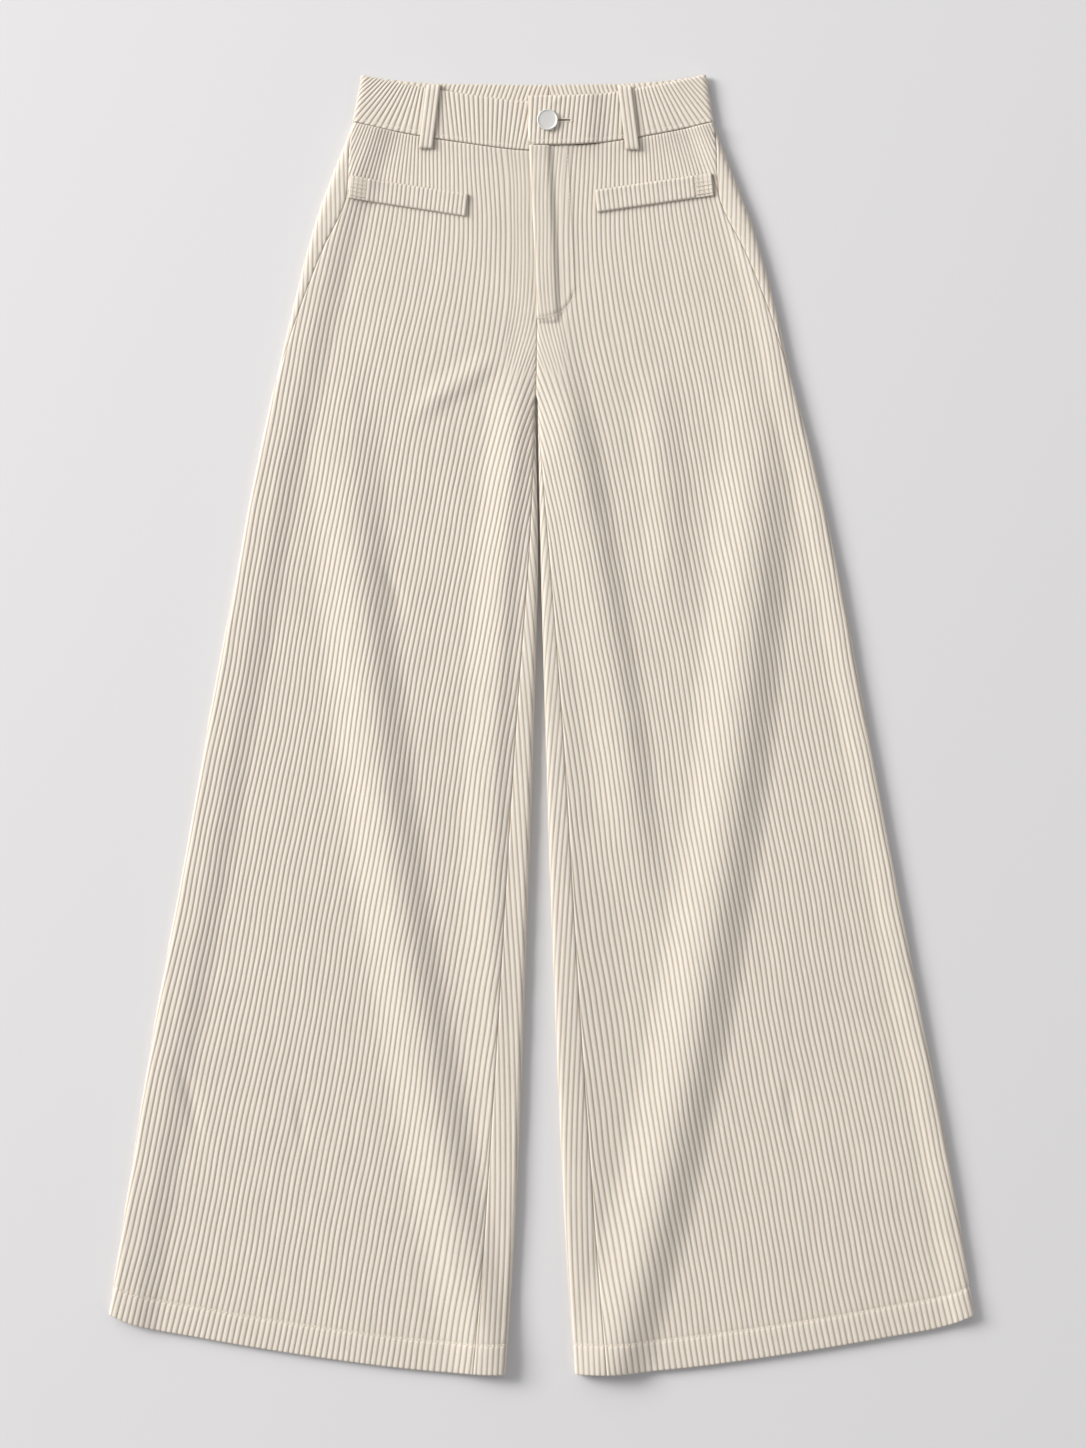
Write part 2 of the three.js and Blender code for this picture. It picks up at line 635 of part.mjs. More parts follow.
// A half band: along the front, round the side and along the back to the centre back seam.
function bandGeometry(side) {
  const direction = inward[side];
  const start = side === 'right' ? BAND_UNDERLAP_END_X : BAND_OVERLAP_END_X;
  const ribbedFrom = BAND_OVERLAP_END_X - (side === 'right' ? BAND_UNDERLAP_CLEAR : 0);
  const sideX = (share) => bandEdge(side, share) + direction * BAND_RADIUS;
  const ribs = Math.round(Math.abs(ribbedFrom - sideX(0)) / BAND_WALE_PITCH);
  const rises = [0, 0.12, 0.5, 0.88, 1];
  const middle = (BAND_BACK_Z + BAND_FRONT_Z + BAND_WALL) / 2;
  const lift = middle - BAND_BACK_Z;
  const outside = rises.map(() => []);
  const inside = rises.map(() => []);
  rises.forEach((share, row) => {
    const put = (x, out, back, z) => {
      const corner = side === 'left' && !back ? BAND_CORNER - clamp(x - start, 0, BAND_CORNER) : 0;
      const cut = BAND_CORNER - Math.sqrt(BAND_CORNER ** 2 - corner ** 2);
      const y = Math.max(bandY(side, x, share, back), bandY(side, x, 0, back) + cut);
      outside[row].push(new THREE.Vector3(x, y, z + out));
      inside[row].push(new THREE.Vector3(x, y, back ? z + BAND_WALL : z - BAND_WALL));
    };
    const plain = side === 'right' ? [start, 0] : [];
    plain.forEach((x) => put(x, 0, false, bandTop(side, x)));
    for (let column = 0; column <= 2 * ribs; column += 1) {
      const x = mix(ribbedFrom, sideX(share), column / (2 * ribs));
      put(x, column % 2 === 1 ? BAND_WALE_RISE : 0, false, bandTop(side, x));
    }
    for (const angle of [45, 0, -45].map(THREE.MathUtils.degToRad)) {
      const point = (reduce) => new THREE.Vector3(
        sideX(share) - direction * (BAND_RADIUS - reduce) * Math.cos(angle),
        bandY(side, bandEdge(side, share), share, false),
        middle + (lift - reduce) * Math.sin(angle),
      );
      outside[row].push(point(0));
      inside[row].push(point(BAND_WALL));
    }
    for (const x of [0, 0.25, 0.5, 0.75, 1].map((part) => (
      mix(sideX(share), CENTRE_BACK_X - (direction * SEAM_GAP) / 2, part)
    ))) {
      put(x, 0, true, BAND_BACK_Z);
    }
  });
  const count = outside[0].length;
  const ribbedEnd = (side === 'right' ? 2 : 0) + 2 * ribs;
  const kept = [];
  for (let column = 0; column < count; column += 1) {
    const ribbed = column > (side === 'right' ? 1 : 0) && column < ribbedEnd;
    if (!ribbed || (ribbedEnd - column) % INSIDE_STEP === 0) kept.push(column);
  }
  return wallGeometry(outside, inside.map((row) => kept.map((column) => row[column])), kept);
}

// A closed solid for boolean work, and back to a geometry.
function toSolid(geometry) {
  return new wasm.Manifold(new wasm.Mesh({
    numProp: 3,
    vertProperties: new Float32Array(geometry.getAttribute('position').array),
    triVerts: new Uint32Array(geometry.getIndex().array),
  }));
}

function fromSolid(solid) {
  const mesh = solid.getMesh();
  const corners = [];
  for (const vertex of mesh.triVerts) {
    const at = vertex * mesh.numProp;
    corners.push(new THREE.Vector3(...mesh.vertProperties.slice(at, at + 3)));
  }
  return solidGeometry(corners);
}

function plainGeometry(geometry) {
  const bare = geometry.index ? geometry.clone() : mergeVertices(geometry);
  bare.deleteAttribute('normal');
  bare.deleteAttribute('uv');
  return mergeVertices(bare, 1e-3);
}

// The keyhole buttonhole: a round eyelet for the shank and a straight slit away from the opening.
function buttonholeCutter() {
  const half = BUTTONHOLE.slit / 2;
  const turn = Math.asin(half / BUTTONHOLE.eyelet);
  const outline = new THREE.Shape();
  outline.absarc(0, 0, BUTTONHOLE.eyelet, turn, 2 * Math.PI - turn, false);
  outline.lineTo(BUTTONHOLE.length, -half);
  outline.lineTo(BUTTONHOLE.length, half);
  const { depth, arcSteps, from } = BUTTONHOLE;
  const cutter = new THREE.ExtrudeGeometry(outline, { depth, bevelEnabled: false, curveSegments: arcSteps });
  cutter.translate(BUTTON.x, BUTTON.y, from);
  return plainGeometry(cutter);
}

// A strap of cloth: a row of stations along its length, each with the middle of its underside, its
// half width vector and the direction away from the garment.
function strapGeometry(stations, width, wall) {
  const outside = stations.map(({ at, out }) => [-1, 1].map((edge) => (
    at.clone().addScaledVector(out, wall).add(new THREE.Vector3((edge * width) / 2, 0, 0))
  )));
  const inside = stations.map(({ at }) => [-1, 1].map((edge) => (
    at.clone().add(new THREE.Vector3((edge * width) / 2, 0, 0))
  )));
  return wallGeometry(outside, inside, [0, 1]);
}

// A front belt loop: sewn to the front below the band, up over the band and down over its top edge.
function frontLoopGeometry({ side, topX, bottomX }) {
  const clear = SEAM_GAP + BAND_WALE_RISE;
  const seamY = bandY(side, (topX + bottomX) / 2, 0, false);
  const topY = Math.max(...[-1, 1].map((edge) => bandY(side, topX + (edge * LOOP_WIDTH) / 2, 1, false)));
  const length = topY - seamY + LOOP_TAIL;
  const placeX = (y) => mix(bottomX, topX, (y - seamY + LOOP_TAIL) / length);
  const overBand = bandTop(side, topX) + clear;
  const up = new THREE.Vector3(0, 0, 1);
  const tailHeight = (y) => Math.max(...[-1, 0, 1].map((edge) => (
    frontOutside(side, placeX(y) + (edge * LOOP_WIDTH) / 2, y)
  ))) + WALE_RISE + LOOP_TAIL_CLEAR;
  const stations = [
    { y: seamY - LOOP_TAIL, z: tailHeight(seamY - LOOP_TAIL), out: up },
    { y: seamY - 3, z: Math.max(tailHeight(seamY - 3), overBand), out: up },
    { y: seamY - 1, z: overBand, out: up },
    { y: mix(seamY, topY, 0.5), z: overBand + LOOP_BOW, out: up },
    { y: topY + LOOP_TURN, z: overBand, out: new THREE.Vector3(0, 1, 1) },
    { y: topY + LOOP_TURN, z: LOOP_END_Z, out: new THREE.Vector3(0, 1, 0) },
  ].map(({ y, z, out }) => ({ at: new THREE.Vector3(placeX(y), y, z), out }));
  return strapGeometry(stations, LOOP_WIDTH, LOOP_WALL);
}

// A back belt loop: flat under the back of the band, between the surface and the band.
function backLoopGeometry({ x }) {
  const up = new THREE.Vector3(0, 0, 1);
  const stations = [0.02, 0.5, 0.98].map((share) => (
    { at: new THREE.Vector3(x, bandY('right', x, share, true), 0), out: up }
  ));
  return strapGeometry(stations, LOOP_WIDTH, BACK_LOOP_WALL);
}

// A pocket welt: a ribbed strip laid on the front's own surface, moved out.
function weltGeometry({ side, outerX, outerY, innerX, innerY }) {
  const ribs = Math.round(Math.abs(innerX - outerX) / walePitch(outerY));
  const count = 2 * ribs + 1;
  const rises = [0, 0.5, 1];
  const place = (column, down) => {
    const share = column / (count - 1);
    const x = mix(outerX, innerX, share) - inward[side] * WELT.lean * down;
    const y = mix(outerY, innerY, share) - WELT.depth * down;
    const base = Math.max(...WELT.clearOver.map((step) => frontOutside(side, x + step, y)));
    return new THREE.Vector3(x, y, base + WALE_RISE + SEAM_GAP);
  };
  const kept = everyColumn(count, INSIDE_STEP);
  const outside = rises.map((down) => Array.from({ length: count }, (_, column) => {
    const point = place(column, down);
    point.z += WELT.wall + (column % 2 === 1 ? BAND_WALE_RISE : 0);
    return point;
  }));
  const inside = rises.map((down) => kept.map((column) => place(column, down)));
  return wallGeometry(outside, inside, kept);
}

// The shank button: a dished face with a raised rim, on a shank that stands on the underlap.
function buttonGeometry() {
  const { radius, wall, dish, rim, shank, underBevel, topBevel, dishBevel, sides } = BUTTON;
  const foot = BAND_FRONT_Z + BAND_WALL + SEAM_GAP;
  const under = BAND_FRONT_Z + BAND_WALL + BAND_OVERLAP_RAISE + BAND_WALE_RISE + SEAM_GAP;
  const top = under + wall;
  const profile = [
    [0, foot],
    [shank, foot],
    [shank, under],
    [radius - underBevel, under],
    [radius, under + underBevel],
    [radius, top - topBevel],
    [radius - topBevel, top],
    [radius - rim, top],
    [radius - rim - dishBevel, top - dish],
    [0, top - dish],
  ].map(([x, y]) => new THREE.Vector2(x, y));
  const lathe = new THREE.LatheGeometry(profile, sides);
  lathe.rotateX(Math.PI / 2);
  lathe.translate(BUTTON.x, BUTTON.y, 0);
  return solidGeometry(Array.from(lathe.toNonIndexed().getAttribute('position').array)
    .reduce((list, value, i, all) => (
      i % 3 === 2 ? [...list, new THREE.Vector3(all[i - 2], all[i - 1], value)] : list
    ), []));
}

function piece(name, geometry, finish) {
  geometry.computeVertexNormals();
  const mesh = new THREE.Mesh(geometry, new THREE.MeshStandardMaterial(finish));
  mesh.name = name;
  return mesh;
}

const trousers = new THREE.Group();
for (const side of ['right', 'left']) {
  trousers.add(piece(`front_${side}`, frontGeometry(side), PALETTE.cloth));
  trousers.add(piece(`back_${side}`, backGeometry(side), PALETTE.cloth));
}
trousers.add(piece('waistband_right', bandGeometry('right'), PALETTE.cloth));
const holed = toSolid(bandGeometry('left')).subtract(toSolid(buttonholeCutter()));
trousers.add(piece('waistband_left', fromSolid(holed), PALETTE.cloth));
for (const loop of FRONT_LOOPS) trousers.add(piece(loop.name, frontLoopGeometry(loop), PALETTE.cloth));
for (const loop of BACK_LOOPS) trousers.add(piece(loop.name, backLoopGeometry(loop), PALETTE.cloth));
for (const welt of WELTS) trousers.add(piece(welt.name, weltGeometry(welt), PALETTE.cloth));
trousers.add(piece('button', buttonGeometry(), PALETTE.metal));

// The origin lies under the middle of the garment's box.
const box = new THREE.Box3().setFromObject(trousers);
const middle = box.getCenter(new THREE.Vector3());
trousers.position.set(-middle.x, -middle.y, 0);

export default trousers;
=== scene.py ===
import math

import bpy
import numpy as np
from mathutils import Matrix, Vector


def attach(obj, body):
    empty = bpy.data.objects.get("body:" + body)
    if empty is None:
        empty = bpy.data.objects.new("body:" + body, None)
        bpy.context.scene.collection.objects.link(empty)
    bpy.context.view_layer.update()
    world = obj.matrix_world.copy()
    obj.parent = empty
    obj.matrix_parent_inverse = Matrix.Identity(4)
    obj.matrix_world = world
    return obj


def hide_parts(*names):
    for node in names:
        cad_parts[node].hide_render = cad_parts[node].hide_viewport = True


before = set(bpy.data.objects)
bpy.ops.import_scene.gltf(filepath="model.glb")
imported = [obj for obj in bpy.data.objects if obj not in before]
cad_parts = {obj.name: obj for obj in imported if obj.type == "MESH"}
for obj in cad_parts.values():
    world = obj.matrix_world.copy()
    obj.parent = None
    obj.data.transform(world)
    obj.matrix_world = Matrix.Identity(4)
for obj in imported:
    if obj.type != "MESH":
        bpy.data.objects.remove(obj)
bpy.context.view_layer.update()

MM = 0.001

# The camera looks straight down on the trousers, as the photograph does: a long lens, so that
# the legs show no perspective, and the picture's middle a little off the garment's middle.
PIXEL = 0.88 * MM
PICTURE_HEIGHT = 1448
LENS = 80
SENSOR = 36
LEVEL_IN_FOCUS = 6 * MM
PICTURE_MIDDLE = (1.4 * MM, 0.1 * MM)


def add_object(name, data):
    piece = bpy.data.objects.new(name, data)
    bpy.context.scene.collection.objects.link(piece)
    return piece


camera = bpy.data.cameras.new("studio_camera")
camera.lens = LENS
camera.sensor_width = SENSOR
camera.sensor_fit = "AUTO"
camera_object = add_object("studio_camera", camera)
camera_height = LEVEL_IN_FOCUS + PICTURE_HEIGHT * PIXEL * LENS / SENSOR
camera_object.location = (*PICTURE_MIDDLE, camera_height)
bpy.context.scene.camera = camera_object

# The table is a plain pale board under one large soft light on the left, a weaker one above the
# waist and an even light from all round, so the folds darken towards the right and the hems.
FLOOR_GREY = (0.70, 0.697, 0.715, 1)
TABLE_HALF = 6.0
TABLE_DROP = 1e-4


def set_inputs(tree, node, inputs):
    """Gives each input of a node a value or another node's output."""
    for key, value in inputs.items():
        if isinstance(value, bpy.types.NodeSocket):
            tree.links.new(value, node.inputs[key])
        else:
            node.inputs[key].default_value = value


def new_material(name):
    material = bpy.data.materials.new(name)
    material.use_nodes = True
    return material, material.node_tree, material.node_tree.nodes["Principled BSDF"]


corners = [(-1, -1), (1, -1), (1, 1), (-1, 1)]
floor_mesh = bpy.data.meshes.new("table_top")
floor_mesh.from_pydata([(x * TABLE_HALF, y * TABLE_HALF, -TABLE_DROP) for x, y in corners],
                       [], [(0, 1, 2, 3)])
floor = add_object("table_top", floor_mesh)
floor_paint, board, floor_shader = new_material("pale_table")
set_inputs(board, floor_shader, {"Base Color": FLOOR_GREY, "Roughness": 0.9, "Specular IOR Level": 0.1})
floor.data.materials.append(floor_paint)

LIGHTS = {
    "window": dict(place=(-7.0, 3.1, 4.1), size=3.8, power=945, colour=(1.0, 0.985, 0.965)),
    "skylight": dict(place=(-5.0, 8.0, 4.6), size=4.0, power=180, colour=(1.0, 0.99, 0.98)),
    "bounce": dict(place=(6.0, -1.0, 3.6), size=4.5, power=80, colour=(0.99, 0.99, 1.0)),
}
for light_name, light in LIGHTS.items():
    lamp = bpy.data.lights.new(light_name, "AREA")
    lamp.size = light["size"]
    lamp.energy = light["power"]
    lamp.color = light["colour"]
    lamp_object = add_object(light_name, lamp)
    lamp_object.location = light["place"]
    lamp_object.rotation_euler = Vector(light["place"]).to_track_quat("Z", "Y").to_euler()
room = bpy.data.worlds.new("studio_room")
room.use_nodes = True
set_inputs(room.node_tree, room.node_tree.nodes["Background"], {
    "Color": (1.0, 0.99, 0.98, 1), "Strength": 0.35})
bpy.context.scene.world = room
bpy.context.scene.view_settings.view_transform = "Standard"

# The two fronts are cut from wide-ribbed cotton corduroy, the ribs running parallel to the outer
# edge of the leg. Each is sewn at the hip or the outer fold to its back, below the crotch at the
# inseam, and at the centre front to the other, where the left one turns back into the fly placket.
# Sizes are in millimetres of the laid garment; its box is centred on the frame's origin.
GARMENT_SHIFT = (0.51, -1.46)
CLOTH = 2.0
WALE_RISE = 0.95
FRONT_TOP = 5.0
CROTCH_Y = 291
GUIDE_Y = 348
CROTCH_RADIUS = 2.5
INNER_RADIUS = 4.2
INNER_RADIUS_RUN = 60
INNER_ROLL_REACH = {"right": 42, "left": 64}
WAIST_SEAM_Y = 508
WAIST_SEAM_X = -8
WAIST_SEAM_BEND = 21
WAIST_SEAM_REACH = 150
WAIST_SEAM_POWER = 1.6
WAIST_STEP = {"right": -1.8, "left": 2.6}
WAIST_STEP_REACH = 65
WAIST_STEP_RUN = 12
WAIST_EASE = dict(rise=1.4, run=16)
HEM_Y = -545
HEM_DEPTH = 27
HEM_TURN = dict(rise=0.7, over=2, run=4)
HEM_STITCH_WIDTH = 1.3
FLY_END_Y = 357
FLY_UNDERLAP = 9
OVERLAP_END_X = -12.3
SEAM_GAP = 0.3
SEAM_HALF_GAP = 0.08
THINNEST = 0.25

OUTER_EDGE = {
    "y": [529, 480, 445, 375, 304, 234, 128, 23, -118, -259, -400, -519],
    "right": [-167, -186.5, -199, -217.5, -234, -250, -269.5, -289.5, -314, -340, -362.5, -381],
    "left": [151.5, 170.5, 184, 204, 220, 238.5, 262, 281.5, 308, 334.5, 361, 380],
}
INNER_EDGE = {
    "y": [291, 146, 69, -38, -140, -452, -571],
    "right": [-6.4, -3.6, -5.3, -8.8, -12.3, -24.6, -32.6],
    "left": [-4.0, -1.2, 0.9, 4.3, 7.5, 21.1, 29],
}
CENTRE_FRONT = {"y": [508, 357, 291], "x": [-11.4, -4.4, -5.2]}
SIDE_SEAM = {
    "y": [529, 506, 484, 463, 445, 425, 375, 330, 290],
    "girth": [2.5, 9, 17, 23, 22, 17.5, 10, 5, 0],
}
INSEAM = {
    "y": [291, 216, 72, -60, -250, -390, -545],
    "girth": [0, 6, 14.5, 19.5, 24, 27.5, 30],
}
WALE_PITCH = {
    "y": [508, 418, 200, -65, -330, -570],
    "pitch": [4.0, 4.2, 4.3, 4.4, 4.58, 4.8],
}
HEM_EDGE = {
    "x": [28, 65, 122, 188, 250, 304, 357, 382],
    "y": [-570.5, -570.5, -566, -557.5, -548, -538.5, -528, -518],
}
SECTION_BEND = {
    "y": [508, 470, 420, 357, -282, -370, -450, -518, -545],
    "seam": [1, 0.6, 0.1, 0, 0, 0, 0, 0, 0],
    "hem": [0, 0, 0, 0, 0, 0.2, 0.6, 1, 1],
}
EDGE_ROLL = {
    "right": dict(radius=4.4, rise=3.8, flat=18, reach=46),
    "left": dict(radius=4.0, rise=3.0, flat=8, reach=28),
}
INWARD = {"right": 1, "left": -1}

# Folds of the laid cloth: ridges from an upper to a lower end, with the bow of the crest, the
# height, the reach to each side, and the lengths over which the ridge rises and dies away.
# The ones with a negative height are small dents.
FOLD_KEYS = ("top", "end", "bow", "height", "right", "left", "rise", "fall")
FOLDS = {
    "right": [
        ((-178, 360), (-34, -610), -24, 7.2, 42, 34, 260, 70),
        ((-16, 345), (-40, -440), -16, 4.4, 30, 20, 90, 380),
        ((-125, 268), (-30, 330), 0, 2.6, 16, 16, 40, 40),
        ((-150, 150), (-118, 92), 3, -1.3, 8, 8, 28, 28),
        ((-214, -318), (-206, -378), -2, -1.4, 9, 9, 26, 26),
        ((-326, -280), (-298, -378), 3, -1.5, 10, 9, 40, 40),
    ],
    "left": [
        ((0, 372), (92, -190), 10, 5.5, 40, 27, 120, 150),
        ((94, 330), (114, 60), 4, 2.6, 24, 28, 80, 110),
        ((190, 360), (46, -620), 38, 8.4, 44, 38, 230, 70),
        ((14, 0), (42, -610), 0, 0.7, 20, 20, 120, 70),
        ((216, -305), (226, -370), -2, -1.4, 9, 9, 28, 28),
    ],
}


def smooth(share):
    t = np.clip(share, 0, 1)
    return t * t * (3 - 2 * t)


def mix(a, b, t):
    return a + (b - a) * t


def along(table, at, key, place):
    """Value of one column of a table at places along another column, on a smooth curve."""
    xs = np.array(table[at], float)
    vs = np.array(table[key], float)
    if xs[0] > xs[-1]:
        xs, vs = xs[::-1], vs[::-1]
    slopes = np.diff(vs) / np.diff(xs)
    tangents = np.concatenate([slopes[:1], (slopes[:-1] + slopes[1:]) / 2, slopes[-1:]])
    place = np.asarray(place, float)
    i = np.clip(np.searchsorted(xs, place) - 1, 0, len(xs) - 2)
    step = xs[i + 1] - xs[i]
    t = (place - xs[i]) / step
    curve = (mix(vs[i], vs[i + 1], t * t * (3 - 2 * t))
             + step * (tangents[i] * t * (1 - t) ** 2 - tangents[i + 1] * t * t * (1 - t)))
    return np.where((t < 0) | (t > 1), mix(vs[i], vs[i + 1], t), curve)


def outer_edge(side, y):
    return along(OUTER_EDGE, "y", side, y)


def inner_edge(side, y):
    return along(INNER_EDGE, "y", side, np.minimum(y, CROTCH_Y))


def centre_front(y):
    return along(CENTRE_FRONT, "y", "x", y)


def hem_edge(x):
    return along(HEM_EDGE, "x", "y", np.abs(x))


def waist_bend(x):
    return WAIST_SEAM_BEND * (np.abs(x - WAIST_SEAM_X) / WAIST_SEAM_REACH) ** WAIST_SEAM_POWER


def waist_step(side, x):
    """The step of the waist seam where the fly closes; it is taken back under the overlap."""
    def step_of(half):
        return WAIST_STEP[half] * (1 - smooth((WAIST_SEAM_X - x) * INWARD[half] / WAIST_STEP_REACH))
    if side == "left":
        return step_of("left")
    return mix(step_of("right"), step_of("left"), smooth((x - OVERLAP_END_X) / WAIST_STEP_RUN))


def inner_radius(y):
    return mix(CROTCH_RADIUS, INNER_RADIUS, smooth((CROTCH_Y - y) / INNER_RADIUS_RUN))


def side_seam(y):
    return np.where(y < CROTCH_Y, 0, along(SIDE_SEAM, "y", "girth", y))


def inseam(y):
    return np.where(y >= CROTCH_Y, 0, along(INSEAM, "y", "girth", y))


def wale_pitch(y):
    return along(WALE_PITCH, "y", "pitch", y)


def fold_height(fold, x, y):
    (x0, y0), (x1, y1) = fold["top"], fold["end"]
    run = math.hypot(x1 - x0, y1 - y0)
    ux, uy = (x1 - x0) / run, (y1 - y0) / run
    t = ((x - x0) * ux + (y - y0) * uy) / run
    across = (x - x0) * -uy + (y - y0) * ux - fold["bow"] * 4 * t * (1 - t)
    away = np.abs(across) / np.where(across < 0, fold["right"], fold["left"])
    fade = smooth(t * run / fold["rise"]) * smooth((1 - t) * run / fold["fall"])
    arch = (1 + np.cos(np.pi * np.minimum(away, 1))) / 2
    return np.where(away < 1, fold["height"] * fade * arch, 0)


# The fly placket: a raised strip over the closing edge, a crease beside it, and the flat facing
# that ends at the J of stitching.
PLACKET = dict(over=2.4, over_width=15, over_ease=7, facing=0.6, width=35, curve=27, inset=1.5)
PLACKET_CREASE = dict(depth=0.5, at=20, width=3)
PLACKET_END_RUN = 4


def placket_edge(x, y):
    """Distance from the fly's J of stitching, positive outside it."""
    across = x - centre_front(y)
    turn_y = FLY_END_Y + PLACKET["curve"]
    below = np.maximum(turn_y - y, 0)
    ring = np.hypot(across / PLACKET["width"], below / PLACKET["curve"])
    return (ring - 1) * PLACKET["curve"]


def placket_rise(x, y):
    across = x - centre_front(y)
    end = 1 - smooth((FLY_END_Y + 1 - y) / PLACKET_END_RUN)
    over = PLACKET["over"] * (1 - smooth((across - PLACKET["over_width"]) / PLACKET["over_ease"]))
    from_crease = (across - PLACKET_CREASE["at"]) / PLACKET_CREASE["width"]
    facing = PLACKET["facing"] * (1 - smooth((placket_edge(x, y) + 1) / 2))
    return (over - PLACKET_CREASE["depth"] * np.exp(-from_crease ** 2)) * end + facing


def front_base(side, x, y):
    """Outside of the front layer, without its ribs, over a point of the table."""
    roll = EDGE_ROLL[side]
    from_outer = (x - outer_edge(side, y)) * INWARD[side]
    sinking = smooth((from_outer - roll["flat"]) / (roll["reach"] - roll["flat"]))
    z = FRONT_TOP + roll["rise"] * (1 - sinking)
    from_inner = (inner_edge(side, y) - x) * INWARD[side]
    opened = 2 * (inner_radius(y) - CROTCH_RADIUS)
    sunk = smooth((from_inner - INNER_RADIUS) / INNER_ROLL_REACH[side])
    z = z + np.where(y < CROTCH_Y, opened * (1 - sunk), 0)
    for fold in FOLDS[side]:
        z = z + fold_height(dict(zip(FOLD_KEYS, fold)), x, y)
    below_waist = WAIST_SEAM_Y + waist_bend(x) + waist_step(side, x) - y
    z = z + WAIST_EASE["rise"] * (1 - smooth(below_waist / WAIST_EASE["run"]))
    if side == "left":
        z = z + placket_rise(x, y)
    hem_top = hem_edge(x) + HEM_DEPTH + HEM_TURN["over"]
    return z + HEM_TURN["rise"] * smooth((hem_top - y) / HEM_TURN["run"])


def front_girth(side, y):
    outer = EDGE_ROLL[side]["radius"]
    above = np.abs(centre_front(y) - outer_edge(side, y)) - outer + outer * np.pi / 2
    inner = inner_radius(y)
    width = np.abs(inner_edge(side, y) - outer_edge(side, y))
    below = width - outer - inner + (outer + inner) * np.pi / 2
    return np.where(y > CROTCH_Y, above, below)


def leg_turns(side, y, girth):
    """The turn of the cloth on the outer and on the inner roll of a leg, and which of them it is on;
    `girth` is measured round the cloth from the middle of the outer edge."""
    outer, inner = EDGE_ROLL[side]["radius"], inner_radius(y)
    turn = np.clip(girth / outer, -np.pi / 2, np.pi / 2)
    beyond = girth - (front_girth(side, y) - inner * np.pi / 2)
    inner_turn = np.clip(np.pi / 2 - beyond / inner, -np.pi / 2, np.pi / 2)
    on_roll = girth < outer * np.pi / 2
    return turn, inner_turn, on_roll, (y <= CROTCH_Y) & (beyond > 0) & ~on_roll


def leg_x(side, y, girth, out=CLOTH):
    """x of a point of a leg's wall; `out` is measured from the wall's inside."""
    outer, inner, sign = EDGE_ROLL[side]["radius"], inner_radius(y), INWARD[side]
    turn, inner_turn, on_roll, on_inner = leg_turns(side, y, girth)
    quarter = outer * np.pi / 2
    rolled = outer - (outer - CLOTH + out) * np.cos(turn) + np.maximum(-girth - quarter, 0)
    x = outer_edge(side, y) + sign * np.where(on_roll, rolled, outer + girth - quarter)
    inner_rolled = inner - (inner - CLOTH + out) * np.cos(inner_turn)
    return np.where(on_inner, inner_edge(side, y) - sign * inner_rolled, x)


def leg_point(side, y, girth, out):
    """A point of a leg's wall and the direction away from it."""
    outer, inner, sign = EDGE_ROLL[side]["radius"], inner_radius(y), INWARD[side]
    turn, inner_turn, on_roll, on_inner = leg_turns(side, y, girth)
    x = leg_x(side, y, girth, out)
    half = front_base(side, outer_edge(side, y) + sign * outer, y) / 2
    inner_half = front_base(side, inner_edge(side, y) - sign * inner, y) / 2

    def choose(rolled, inner_rolled, flat):
        return np.where(on_roll, rolled, np.where(on_inner, inner_rolled, flat))

    z = choose(half + (half - CLOTH + out) * np.sin(turn),
               inner_half + (inner_half - CLOTH + out) * np.sin(inner_turn),
               front_base(side, x, y) - CLOTH + out)
    away_x = choose(-sign * np.cos(turn), sign * np.cos(inner_turn), 0)
    away_z = choose(np.sin(turn), np.sin(inner_turn), 1)
    point = np.stack([x, np.broadcast_to(y, x.shape), z], -1)
    return point, np.stack([away_x, np.zeros_like(x), away_z], -1)


def section_y(level, x, rise=0):
    seam = along(SECTION_BEND, "y", "seam", level)
    hem = along(SECTION_BEND, "y", "hem", level)
    centre = 1 - smooth(np.abs(x - WAIST_SEAM_X) / WAIST_SEAM_REACH)
    return level + seam * (waist_bend(x) + rise * centre) + hem * (hem_edge(x) - HEM_Y)


SOLVING_ROUNDS = 6


def section_girths(side, levels, girth_at):
    """y and girth of each point where the levels cross the columns."""
    y = np.repeat(levels, girth_at(levels).shape[1], axis=1).astype(float)
    seam = along(SECTION_BEND, "y", "seam", levels)
    for _ in range(SOLVING_ROUNDS):
        x = leg_x(side, y, girth_at(y))
        y = section_y(levels, x) + seam * waist_step(side, x)
    return y, girth_at(y)


PANEL_ROWS = 172
CLOSEST_ROWS = 0.25


def panel_levels(fly_step=6):
    """Rows of points down a panel: closer at the waist seam, at the fly's end and at the hem."""
    even = np.linspace(WAIST_SEAM_Y, HEM_Y, PANEL_ROWS)
    near_edges = [WAIST_SEAM_Y - d for d in (0.5, 1.2, 2.4)] + [HEM_Y + d for d in (0.4, 1.0, 2.0)]
    stitched = [HEM_Y + HEM_DEPTH + d for d in (-1.6, -0.8, 0, 0.8, 1.6)]
    fly_end = FLY_END_Y + np.arange(-6, 30, fly_step)
    levels = {*even, *near_edges, *stitched, *fly_end, CROTCH_Y + 0.5, CROTCH_Y}
    levels = np.array(sorted(levels, reverse=True))
    kept = np.concatenate([[True], np.diff(levels) < -CLOSEST_ROWS])
    return levels[kept][:, None]


def grid_faces(start, rows, columns, turned):
    index = start + np.arange(rows * columns).reshape(rows, columns)
    corners = [index[:-1, :-1], index[:-1, 1:], index[1:, 1:], index[1:, :-1]]
    faces = np.stack(corners, -1).reshape(-1, 4)
    return faces[:, ::-1] if turned else faces


